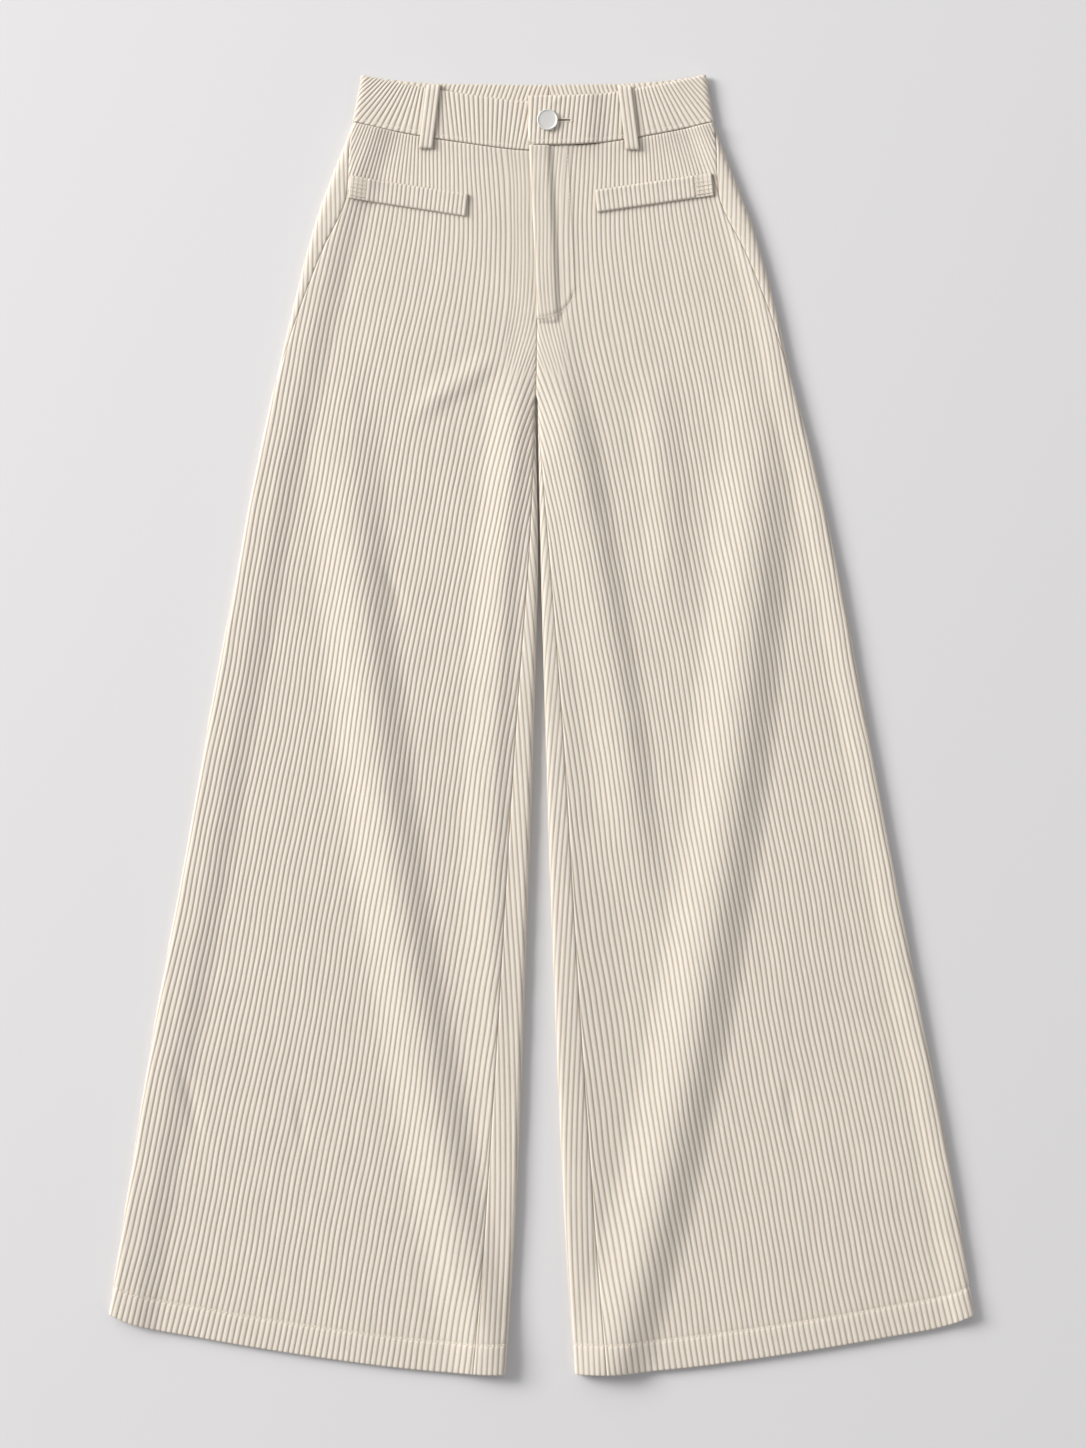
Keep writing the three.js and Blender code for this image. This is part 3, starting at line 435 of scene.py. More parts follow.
def wall_mesh(name, outside, inside, kept, outer_fields, inner_fields=None):
    """A closed wall between a fine outside and an inside that keeps only some of its columns.
    The fields hold a value for each point, which the rib tree and the cloth's shader read."""
    rows, columns = outside.shape[:2]
    thin = len(kept)
    inner_start = rows * columns
    points = np.concatenate([outside.reshape(-1, 3), inside.reshape(-1, 3)])
    outer_index = np.arange(inner_start).reshape(rows, columns)
    inner_index = inner_start + np.arange(rows * thin).reshape(rows, thin)
    faces = [grid_faces(0, rows, columns, False), grid_faces(inner_start, rows, thin, True)]
    first = [outer_index[:-1, 0], outer_index[1:, 0], inner_index[1:, 0], inner_index[:-1, 0]]
    last = [inner_index[:-1, -1], inner_index[1:, -1], outer_index[1:, -1], outer_index[:-1, -1]]
    faces += [np.stack(first, -1), np.stack(last, -1)]
    for row, turned in ((0, False), (rows - 1, True)):
        rim = []
        for m in range(thin - 1):
            corner = inner_index[row, m]
            for j in range(kept[m], kept[m + 1]):
                rim.append((outer_index[row, j + 1], outer_index[row, j], corner, corner))
            end = outer_index[row, kept[m + 1]]
            rim.append((corner, inner_index[row, m + 1], end, end))
        rim = np.array(rim)
        faces.append(rim[:, ::-1] if turned else rim)
    faces = np.concatenate(faces)
    _, firsts, which = np.unique(np.round(points, 4), axis=0, return_index=True, return_inverse=True)
    faces = which.reshape(-1)[faces]
    placed = (points[firsts] + np.array([*GARMENT_SHIFT, 0])) * MM
    a, b, c, d = (placed[faces[:, k]] for k in range(4))
    volume = np.sum(a * (np.cross(b, c) + np.cross(c, d)))
    if volume < 0:
        faces = faces[:, ::-1]
    rings = []
    for quad in faces.tolist():
        ring = [v for v, before in zip(quad, quad[-1:] + quad[:-1]) if v != before]
        if len(ring) >= 3 and len(ring) == len(set(ring)):
            rings.append(ring)
    mesh = bpy.data.meshes.new(name)
    mesh.from_pydata(placed.tolist(), [], rings)
    for key, values in outer_fields.items():
        width = values.shape[2] if values.ndim == 3 else 1
        spare = (inner_fields or {}).get(key, np.zeros((rows, thin, width)))
        column = np.concatenate([values.reshape(-1, width), spare.reshape(-1, width)])[firsts]
        store = mesh.attributes.new(key, "FLOAT_VECTOR" if width == 3 else "FLOAT", "POINT")
        store.data.foreach_set("vector" if width == 3 else "value", column.astype(np.float32).ravel())
    mesh.shade_smooth()
    return mesh


def add_node(tree, kind, inputs=None, **settings):
    """The outputs of a new node with these inputs and settings."""
    node = tree.nodes.new(kind)
    for key, value in settings.items():
        setattr(node, key, value)
    set_inputs(tree, node, inputs or {})
    return node.outputs


def math_node(tree, operation, *values):
    return add_node(tree, "ShaderNodeMath", dict(enumerate(values)), operation=operation)[0]


def noise(tree, at, scale, detail=2.0):
    return add_node(tree, "ShaderNodeTexNoise", {"Vector": at, "Scale": scale, "Detail": detail})[0]


def wale_crest(tree, wale, split, fullness):
    """0 in the groove between two ribs and 1 on a rib's crest; a split rib has two crests."""
    turn = math_node(tree, "MULTIPLY", wale, math.pi)
    twice = math_node(tree, "MULTIPLY", turn, 2.0)
    whole, halves = (math_node(tree, "ABSOLUTE", math_node(tree, "SINE", t)) for t in (turn, twice))
    more = math_node(tree, "SUBTRACT", halves, whole)
    arch = math_node(tree, "MULTIPLY_ADD", more, split, whole)
    return math_node(tree, "POWER", math_node(tree, "MAXIMUM", arch, 0.0), fullness)


def new_tree(name, inputs):
    tree = bpy.data.node_groups.new(name, "GeometryNodeTree")
    for label, kind in inputs.items():
        tree.interface.new_socket(label, in_out="INPUT", socket_type="NodeSocket" + kind)
    tree.interface.new_socket("Result", in_out="OUTPUT", socket_type="NodeSocketGeometry")
    return tree, tree.nodes.new("NodeGroupInput").outputs


# The rib tree: it raises the pile of each wale off the cloth, or sinks the grooves between the
# wales where the cloth lies on its crests, and lets the height wander a little along each rib.
wales, given = new_tree("corduroy_wales", {
    "Cloth": "Geometry", "Rise": "Float", "Fullness": "Float", "Unevenness": "Float",
    "Seed": "Float", "Finish": "Material"})


def attribute(tree, name, kind="FLOAT"):
    return add_node(tree, "GeometryNodeInputNamedAttribute", {"Name": name}, data_type=kind)[0]


wale = attribute(wales, "wale")
crest = wale_crest(wales, wale, attribute(wales, "split"), given["Fullness"])
place = add_node(wales, "ShaderNodeSeparateXYZ", {0: add_node(wales, "GeometryNodeInputPosition")[0]})
spot = add_node(wales, "ShaderNodeCombineXYZ", {
    0: math_node(wales, "MULTIPLY", wale, 0.45), 1: math_node(wales, "MULTIPLY", place[1], 42.0)})
wander = add_node(wales, "ShaderNodeTexNoise", {
    "Vector": spot[0], "W": given["Seed"], "Scale": 1.0, "Detail": 2.0}, noise_dimensions="4D")
swing = math_node(wales, "MULTIPLY_ADD", wander[0], 2.0, -1.0)
swell = math_node(wales, "MULTIPLY_ADD", swing, given["Unevenness"], 1.0)
raised = math_node(wales, "MULTIPLY", crest, attribute(wales, "lift"))
sunk = math_node(wales, "MULTIPLY", math_node(wales, "SUBTRACT", 1.0, crest), attribute(wales, "sink"))
height = math_node(wales, "MULTIPLY", math_node(wales, "SUBTRACT", raised, sunk),
                   math_node(wales, "MULTIPLY", given["Rise"], swell))
offset = add_node(wales, "ShaderNodeVectorMath", {
    0: attribute(wales, "outward", "FLOAT_VECTOR"), "Scale": height}, operation="SCALE")
ribbed = add_node(wales, "GeometryNodeSetPosition", {"Geometry": given["Cloth"], "Offset": offset[0]})
real = add_node(wales, "GeometryNodeRealizeInstances", {"Geometry": ribbed[0]})
dressed = add_node(wales, "GeometryNodeSetMaterial", {"Geometry": real[0], "Material": given["Finish"]})
add_node(wales, "NodeGroupOutput", {"Result": dressed[0]})


def plain_mesh(source):
    """The mesh that an object has after its modifiers."""
    depsgraph = bpy.context.evaluated_depsgraph_get()
    return bpy.data.meshes.new_from_object(
        source.evaluated_get(depsgraph), preserve_all_data_layers=True, depsgraph=depsgraph)


def grow(name, data, tree, values):
    """An object made from its mesh or path by a node tree, and turned into a plain mesh."""
    source = add_object(name + "_source", data)
    modifier = source.modifiers.new("grow", "NODES")
    modifier.node_group = tree
    for item in tree.interface.items_tree:
        if item.in_out == "INPUT" and item.name in values:
            modifier[item.identifier] = values[item.name]
    mesh = plain_mesh(source)
    bpy.data.objects.remove(source)
    mesh.name = name
    return add_object(name, mesh)


# Cream cotton corduroy: pale pile on the crests, the tan ground weave in the grooves darkened by
# painted shade, a fine tufted nap, and slow changes of tone where the nap lies another way.
CREST_COLOUR = (0.765, 0.717, 0.645, 1)
# The groove colour is the ground weave's tan with painted shade added for the shadow in the grooves.
GROOVE_WEAVE_AND_SHADE = (0.40, 0.302, 0.205, 1)
corduroy, weave, cloth_shader = new_material("cream_corduroy")
wale_read = add_node(weave, "ShaderNodeAttribute", attribute_name="wale")["Fac"]
split_read = add_node(weave, "ShaderNodeAttribute", attribute_name="split")["Fac"]
pile = wale_crest(weave, wale_read, split_read, 0.5)
where = add_node(weave, "ShaderNodeTexCoord")["Object"]
tufts = noise(weave, where, 1500.0)
along_ribs = add_node(weave, "ShaderNodeMapping", {"Vector": where, "Scale": (1.0, 0.35, 1.0)})
nap = noise(weave, along_ribs[0], 14.0, 3.0)


def mix_colour(tree, factor, a, b):
    """Two colours blended; the sockets of a colour mix are known by their numbers."""
    return add_node(tree, "ShaderNodeMix", {0: factor, 6: a, 7: b}, data_type="RGBA")[2]


def remap(tree, value, low, high):
    return add_node(tree, "ShaderNodeMapRange", {"Value": value, "To Min": low, "To Max": high})[0]


def bump(tree, height, strength, distance):
    return add_node(tree, "ShaderNodeBump", {
        "Height": height, "Strength": strength, "Distance": distance})[0]


on_rib = add_node(weave, "ShaderNodeCombineXYZ", {
    0: math_node(weave, "MULTIPLY", wale_read, 0.8),
    1: math_node(weave, "MULTIPLY", add_node(weave, "ShaderNodeSeparateXYZ", {0: where})[1], 22.0)})
wear = noise(weave, on_rib[0], 1.0, 3.0)
# The blend from crest to groove paints shade into the grooves besides the weave's own tan.
tone = mix_colour(weave, pile, GROOVE_WEAVE_AND_SHADE, CREST_COLOUR)
shades = math_node(weave, "MULTIPLY", remap(weave, nap, 0.94, 1.05), remap(weave, tufts, 0.88, 1.10))
shade = add_node(weave, "ShaderNodeHueSaturation", {
    "Color": tone, "Value": math_node(weave, "MULTIPLY", shades, remap(weave, wear, 0.90, 1.08))})
set_inputs(weave, cloth_shader, {
    "Base Color": shade[0], "Normal": bump(weave, tufts, 0.35, 0.0004), "Roughness": 0.95,
    "Specular IOR Level": 0.15, "Sheen Weight": 0.16, "Sheen Roughness": 0.5,
    "Sheen Tint": (1.0, 0.97, 0.93, 1)})

# The six columns of points in a rib, from its groove over its crest, and the same in a rib that
# is split in two because it has grown wider than the span.
PHASES = (0, 0.1, 0.26, 0.5, 0.74, 0.9)
SPLIT_PHASES = (0, 0.14, 0.36, 0.5, 0.64, 0.86)
SPLIT_SPAN = 5.2
SPLIT_EASE = 0.6

# Lean of the wales inwards as they rise, in degrees from the plumb line, at the leg's outer edge,
# its middle, near its inner edge and on it: they fan out to the hem and run into the seam above
# the crotch.
WALE_LEAN = {
    "y": [530, 500, 463, 427, 392, 357, 331, 304, 278, 243,
          199, 146, 93, 23, -48, -118, -188, -259, -400, -545],
    "outer": [28, 26, 19, 14, 13, 12, 11, 11, 11, 10,
              10, 10, 10, 10.5, 11.3, 11.8, 12.4, 12.6, 12.6, 12.6],
    "middle": [0, 0, 3, 8, 10, 11, 11, 12, 12, 11,
               10, 10, 10, 9.6, 9.4, 9.4, 9.6, 9.9, 10.2, 10.4],
    "inner": [-6, -6, -3, 1, 5, 8, 10, 13, 14, 13,
              13, 12, 10, 8.6, 8.3, 8.2, 8.2, 8.2, 8.7, 9],
    "seam": [-4, -4, -1, 1, 4, 10, 20, 23, 19, 15,
             11.5, 10, 8.6, 7.4, 7, 6.9, 6.9, 7, 7.7, 8.2],
}
WALE_SPAN = 4.3
WALE_SPAN_Y = 93
PATH_STEP = 2.0


def wale_paths(side, ribs):
    """The ribs' paths over the flat front, followed up and down from where they lie evenly. Gives
    the girth of any place across the ribs, and how far a rib that has grown too wide is split."""
    sign = INWARD[side]
    grid = np.arange(-590, 560 + PATH_STEP, PATH_STEP)
    inner = np.where(grid > CROTCH_Y, centre_front(grid), inner_edge(side, grid))
    outer = outer_edge(side, grid)
    width = np.abs(inner - outer)
    leans = [np.tan(np.radians(along(WALE_LEAN, "y", part, grid)))
             for part in ("outer", "middle", "inner", "seam")]
    middle = int(np.argmin(np.abs(grid - WALE_SPAN_Y)))
    paths = np.zeros((len(grid), len(ribs)))
    paths[middle] = ribs * WALE_SPAN
    for step in (1, -1):
        row = middle
        while 0 <= row + step < len(grid):
            share = paths[row] / width[row]
            lean = np.interp(share, [0, 0.5, 0.85, 1], [part[row] for part in leans])
            moved = (outer[row + step] - outer[row]) * sign
            paths[row + step] = paths[row] + step * PATH_STEP * lean - moved
            row += step
    roll = EDGE_ROLL[side]["radius"] * (np.pi / 2 - 1)

    def cell(y, number):
        row = np.clip((y - grid[0]) / PATH_STEP, 0, len(grid) - 1.001)
        column = np.clip(number - ribs[0], 0, len(ribs) - 1.001)
        return np.floor(row).astype(int), np.floor(column).astype(int), row % 1, column % 1

    def girth_of(y, number):
        row, column, down, over = cell(y, number)
        upper = mix(paths[row, column], paths[row, column + 1], over)
        lower = mix(paths[row + 1, column], paths[row + 1, column + 1], over)
        return mix(upper, lower, down) + roll

    def split_of(y, number):
        row, column, _, _ = cell(y, number)
        span = paths[row, column + 1] - paths[row, column]
        return smooth((span - SPLIT_SPAN) / SPLIT_EASE) * smooth((y - CROTCH_Y - 4) / 20)
    return girth_of, split_of


def rib_columns(first, last):
    """Rib numbers of the columns of points: six columns to a rib, closest in its groove."""
    return (np.arange(first, last)[:, None] + np.array(PHASES)).ravel()[None, :]


def waver(waves, y, number):
    """Sideways sway of a rib, the sum of waves of (size, length, shift from rib to rib)."""
    return sum(size * np.sin(y / length + number * shift) for size, length, shift in waves)


def rounding(distance, radius, share=1.0):
    """How far a rounded edge falls away at a distance from it; `share` flattens the round."""
    near = np.clip(distance, 0, radius)
    return share * (radius - np.sqrt(radius ** 2 - (radius - near) ** 2))


def held(value, low, high, snap=0.3):
    """Values kept between two seams; those next to a seam are moved on to it."""
    value = np.where(value < low + snap, low, value)
    return np.where(value > high - snap, high, value)


def panel_ends(levels, y):
    """Distances to the waist seam and to the hem, and how far the hem's stitches pull the cloth in."""
    to_hem = levels - HEM_Y + 0 * y
    pulled = np.exp(-((to_hem - HEM_DEPTH) / HEM_STITCH_WIDTH) ** 2)
    return WAIST_SEAM_Y - levels + 0 * y, to_hem, pulled


def panel_mesh(name, side, y, girth, out, fields):
    """A panel's wall from its inside to `out`; its inside has one column of points to a rib."""
    outside, outward = leg_point(side, y, girth, out)
    kept = [*range(0, y.shape[1] - 1, len(PHASES)), y.shape[1] - 1]
    inside, _ = leg_point(side, y[:, kept], girth[:, kept], 0)
    return wall_mesh(name, outside, inside, kept, fields | {"outward": outward})


def cloth_piece(name, mesh, seed, rise=0.72):
    piece = grow(name, mesh, wales, {
        "Rise": rise * MM, "Fullness": 0.72, "Unevenness": 0.4, "Seed": float(seed),
        "Finish": corduroy})
    for spare in ("lift", "sink", "outward"):
        piece.data.attributes.remove(piece.data.attributes[spare])
    return piece


def declare_cloth(piece, node):
    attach(piece, "root")
    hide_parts(node)


# How the fronts' ribs waver, how round the cloth's edges are, and how far stitches sink it.
FRONT_WAVES = ((1.0, 36, 0.1), (0.25, 17, -0.31), (0.12, 8.5, 0.61))
SEAM_ROUND = dict(radius=1.1, share=0.3)
HEM_ROUND = dict(radius=1.4)
TOP_ROUND = dict(radius=1.0, share=0.7)
PLACKET_ROUND = dict(radius=1.4, share=0.9)
STITCH_SINK = dict(out=0.4, lift=0.75)
J_GROOVE = dict(width=1.5, lift=0.95, out=1.0, beside=0.35)


def front_mesh(side):
    levels = panel_levels(fly_step=1.8 if side == "left" else 6)

    def low(y):
        return side_seam(y) + SEAM_HALF_GAP

    def high(y):
        underlap = FLY_UNDERLAP if side == "right" else -SEAM_HALF_GAP
        above = np.where(levels > FLY_END_Y, underlap, -SEAM_HALF_GAP)
        below = -inseam(y) - SEAM_HALF_GAP
        return front_girth(side, y) + np.where(levels > CROTCH_Y, above, below)

    ribs = np.arange(-26, 101)
    girth_of, split_of = wale_paths(side, ribs)
    rib = np.repeat(ribs[:-1], len(PHASES))[None, :]
    phases = np.tile([PHASES, SPLIT_PHASES], len(ribs) - 1)[:, None, :]

    def numbers_at(y):
        return rib + mix(phases[0], phases[1], split_of(y, rib + 0 * y))

    def free_girth(y):
        number = numbers_at(y)
        return girth_of(y, number) + waver(FRONT_WAVES, y, number)

    everywhere = free_girth(np.repeat(levels, rib.shape[1], axis=1))
    near = (everywhere > low(levels) - 4) & (everywhere < high(levels) + 4)
    used = np.flatnonzero(near.any(axis=0))
    rib, phases = rib[:, used[0]:used[-1] + 1], phases[:, :, used[0]:used[-1] + 1]

    def girth_at(y):
        if y.shape[1] == 1:
            y = np.repeat(y, rib.shape[1], axis=1)
        return held(free_girth(y), low(y), high(y))

    y, girth = section_girths(side, levels, girth_at)
    to_low = girth - low(y)
    to_high = high(y) - girth
    to_seam = np.minimum(to_low, to_high)
    to_top, to_hem, pulled = panel_ends(levels, y)
    out = CLOTH - rounding(to_seam, **SEAM_ROUND) - rounding(to_hem, **HEM_ROUND)
    out = out - rounding(to_top, **TOP_ROUND)
    if side == "left":
        placket_side = np.where(levels > FLY_END_Y - 8, rounding(to_high, **PLACKET_ROUND), 0)
        out = np.maximum(out - placket_side, THINNEST)
    lift = smooth(to_seam + mix(0.1, 0.4, smooth((y - CROTCH_Y) / 60)))
    lift = lift * smooth(np.minimum(to_top, to_hem) + 0.35)
    if side == "right":
        under_placket = (levels > FLY_END_Y - 16) & (girth > front_girth(side, y) - 3.5)
        lift = np.where(under_placket, 0, lift)
    lift = lift * (1 - STITCH_SINK["lift"] * pulled) * (1 - 0.22 * smooth((y - 240) / 160))
    out = out - STITCH_SINK["out"] * pulled
    if side == "left":
        x = leg_x(side, y, girth)
        from_j = placket_edge(x, y) + PLACKET["inset"]
        on_bend = 1 - smooth((y - FLY_END_Y - PLACKET["curve"] + 6) / 10)
        groove = np.exp(-(from_j / J_GROOVE["width"]) ** 2) * (y > FLY_END_Y - 6)
        groove = groove * mix(J_GROOVE["beside"], 1, on_bend)
        lift = lift * (1 - J_GROOVE["lift"] * groove)
        out = out - J_GROOVE["out"] * groove * on_bend
    number = np.stack([np.interp(*row) for row in zip(girth, free_girth(y), numbers_at(y))])
    fields = {"wale": number, "split": split_of(y, rib + 0 * y), "lift": lift, "sink": 0 * lift}
    return panel_mesh(f"front_{side}", side, y, girth, out, fields)


for order, side in enumerate(("right", "left")):
    front = cloth_piece(f"corduroy_front_{side}", front_mesh(side), seed=3 + order)
    declare_cloth(front, f"front_{side}")

# The two backs lie flat on the table with their wales on it. Each comes round the hip and round
# the inner leg on to the front, where it is sewn to the front at the side seam and the inseam.
BACK_RISE = 12
CENTRE_BACK_X = 6
CENTRE_BACK_RUN = 180
BACK_WAVES = ((0.22, 29, 0.2), (0.14, 13.5, 0.57))
SUNK_SHARE = 0.6


def centre_back(side, y):
    """x of a back's edge at the centre seam; at the crotch it meets the centre front."""
    seam = mix(CENTRE_FRONT["x"][-1], CENTRE_BACK_X, smooth((y - CROTCH_Y) / CENTRE_BACK_RUN))
    return seam - INWARD[side] * 0.12


def back_mesh(side):
    levels = panel_levels()
    sign = INWARD[side]
    outer = EDGE_ROLL[side]["radius"]
    quarter = outer * np.pi / 2

    def low(y):
        return SEAM_HALF_GAP - side_seam(y)

    def flat_end(y):
        inner_end = inner_edge(side, y) - sign * inner_radius(y)
        end_x = np.where(levels > CROTCH_Y, centre_back(side, y), inner_end)
        return quarter + np.abs(end_x - outer_edge(side, y) - sign * outer)

    def high(y):
        round_inner = inner_radius(y) * np.pi / 2 + inseam(y) - SEAM_HALF_GAP
        return flat_end(y) + np.where(levels > CROTCH_Y, 0, round_inner)

    def start(y):
        return np.maximum(outer_edge(side, y) * sign - outer_edge(side, GUIDE_Y) * sign, 0)

    first = int(np.min((low(levels) - start(levels)) / wale_pitch(levels))) - 3
    last = int(np.max((high(levels) - start(levels)) / wale_pitch(levels))) + 3
    numbers = rib_columns(first, last)

    def round_at(y):
        free = start(y) + numbers * wale_pitch(y) + waver(BACK_WAVES, y, numbers)
        return held(free, low(y), high(y))

    def girth_of(y, s):
        """The front's girth of a point s round the back from the middle of the outer edge."""
        beyond = s - flat_end(y)
        turned = front_girth(side, y) + inner_radius(y) * np.pi / 2 - beyond
        return np.where((levels <= CROTCH_Y) & (beyond > 0), turned, -s)

    y = np.repeat(levels, numbers.shape[1], axis=1).astype(float)
    for _ in range(SOLVING_ROUNDS):
        s = round_at(y)
        y = section_y(levels, leg_x(side, y, girth_of(y, s)), BACK_RISE)
    s = round_at(y)
    girth = girth_of(y, s)
    to_seam = np.minimum(s - low(y), high(y) - s)
    to_top, to_hem, pulled = panel_ends(levels, y)
    underside = (s > quarter * 0.6) & (s < flat_end(y) + inner_radius(y) * 0.9)
    out = CLOTH - rounding(to_seam, **SEAM_ROUND)
    out = out - rounding(to_hem, **HEM_ROUND) * np.where(underside, 0.5, 1)
    at_hip = smooth((y - CROTCH_Y) / 60)
    by_crotch = smooth((y + 60) / 160) * (1 - at_hip)
    ribs = mix(0.9, 0.66, at_hip) * (1 - 0.5 * by_crotch) * smooth(to_seam + mix(0.1, 0.4, at_hip))
    ribs = ribs * smooth(np.minimum(to_top, to_hem) + 0.35) * (1 - STITCH_SINK["lift"] * pulled)
    out = out - STITCH_SINK["out"] * pulled * ~underside
    round_inner = smooth((s - flat_end(y)) / (inner_radius(y) * 1.5) - 0.6)
    topside = np.maximum(smooth(-s / quarter), round_inner)
    fields = {"wale": (s - start(y)) / wale_pitch(y), "lift": ribs * topside,
              "sink": ribs * (1 - topside) * SUNK_SHARE}
    return panel_mesh(f"back_{side}", side, y, girth, out, fields)


for order, side in enumerate(("right", "left")):
    back = cloth_piece(f"corduroy_back_{side}", back_mesh(side), seed=13 + order)
    declare_cloth(back, f"back_{side}")

# The waistband is two half bands of the same corduroy, folded double, sewn to the panels' upper
# edge and to each other at the centre back. The left half overlaps the right one at the front.
BAND_HEIGHT = 43.5
BAND_WALL = 2.4
BAND_WALE_RISE = 0.8
BAND_WALE_PITCH = 4.0
BAND_BACK_Z = 1.5
BAND_FRONT_Z = 4.6
BAND_RADIUS = 3.5
BAND_MIDDLE = (BAND_BACK_Z + BAND_FRONT_Z + BAND_WALL) / 2
BAND_HALF = BAND_MIDDLE - BAND_BACK_Z
BAND_START = {"right": 29, "left": OVERLAP_END_X}
BAND_EDGE_LEAN = {"right": 7.7, "left": -7.1}
BAND_SEAM_ROUND = dict(radius=1.0, share=0.9)
BAND_TOP_ROUND = dict(radius=1.6, share=1.3)
BAND_END_ROUND = dict(radius=1.6, share=0.95)
BAND_SEAM_STITCH = 3.6
UNDERLAP_PLAIN = 39
OVERLAP = dict(rise=2.7, flat=38, drop=58, corner=8)

# Lean of the band's wales along it, as the band was cut from folded cloth.
BAND_LEAN = {
    "right": {"x": [-170, -140, -120, -100, -80, -55, -30, -12, 29],
              "lean": [0.95, 0.62, 0.34, 0.04, -0.12, -0.03, 0.1, 0.22, 0]},
    "left": {"x": [-12, 20, 60, 75, 95, 120, 150], "lean": [0.05, 0.1, 0.1, 0, -0.25, -0.52, -0.8]},
}

BUTTON = dict(x=4.8, y=532.2, radius=9.25, wall=2.8, dish=0.55, rim=1.1, shank=2.1)
BUTTONHOLE = dict(eyelet=3.2, slit=1.1, length=20, tip=1.2)

# The overlap sags in a wedge between the button and its end, and is pulled into a short slanting
# crease above the button.
BAND_SAG = dict(length=14.5, width=4.2, depth=1.1)
BAND_PULL = dict(start=(4, 544), way=(0.55, -0.83), width=2.6, height=0.8,
                 middle=(12, 549), reach=(9, 6))


def band_edge(side, share):
    return outer_edge(side, WAIST_SEAM_Y + WAIST_SEAM_BEND) + BAND_EDGE_LEAN[side] * share


def band_top(side, x, y):
    z = BAND_FRONT_Z + BAND_WALL + 0 * x
    if side == "left":
        run = OVERLAP["drop"] - OVERLAP["flat"]
        z = z + OVERLAP["rise"] * (1 - smooth((x - OVERLAP["flat"]) / run))
        tip = (BUTTON["x"] - x) / BAND_SAG["length"]
        across = (y - BUTTON["y"]) / (BAND_SAG["width"] * np.clip(1 - tip, 0.05, 1))
        sag = np.exp(-across ** 2) * smooth(tip / 0.5 + 0.4) * smooth((1 - tip) / 0.35)
        z = z - BAND_SAG["depth"] * sag
        (start_x, start_y), (way_x, way_y) = BAND_PULL["start"], BAND_PULL["way"]
        pull = (x - start_x) * way_x + (y - start_y) * way_y
        (middle_x, middle_y), (reach_x, reach_y) = BAND_PULL["middle"], BAND_PULL["reach"]
        away = ((x - middle_x) / reach_x) ** 2 + ((y - middle_y) / reach_y) ** 2
        z = z + BAND_PULL["height"] * np.exp(-(pull / BAND_PULL["width"]) ** 2 - away)
    return z


def band_y(side, x, share, behind):
    centre = 1 - smooth(np.abs(x - WAIST_SEAM_X) / WAIST_SEAM_REACH)
    corner = 0.3 * smooth((np.abs(x - WAIST_SEAM_X) - WAIST_SEAM_REACH + 10) / 14)
    seam = WAIST_SEAM_Y + waist_bend(x) + mix(waist_step(side, x), BACK_RISE * centre + 0.5, behind)
    return seam + SEAM_GAP + corner + share * BAND_HEIGHT


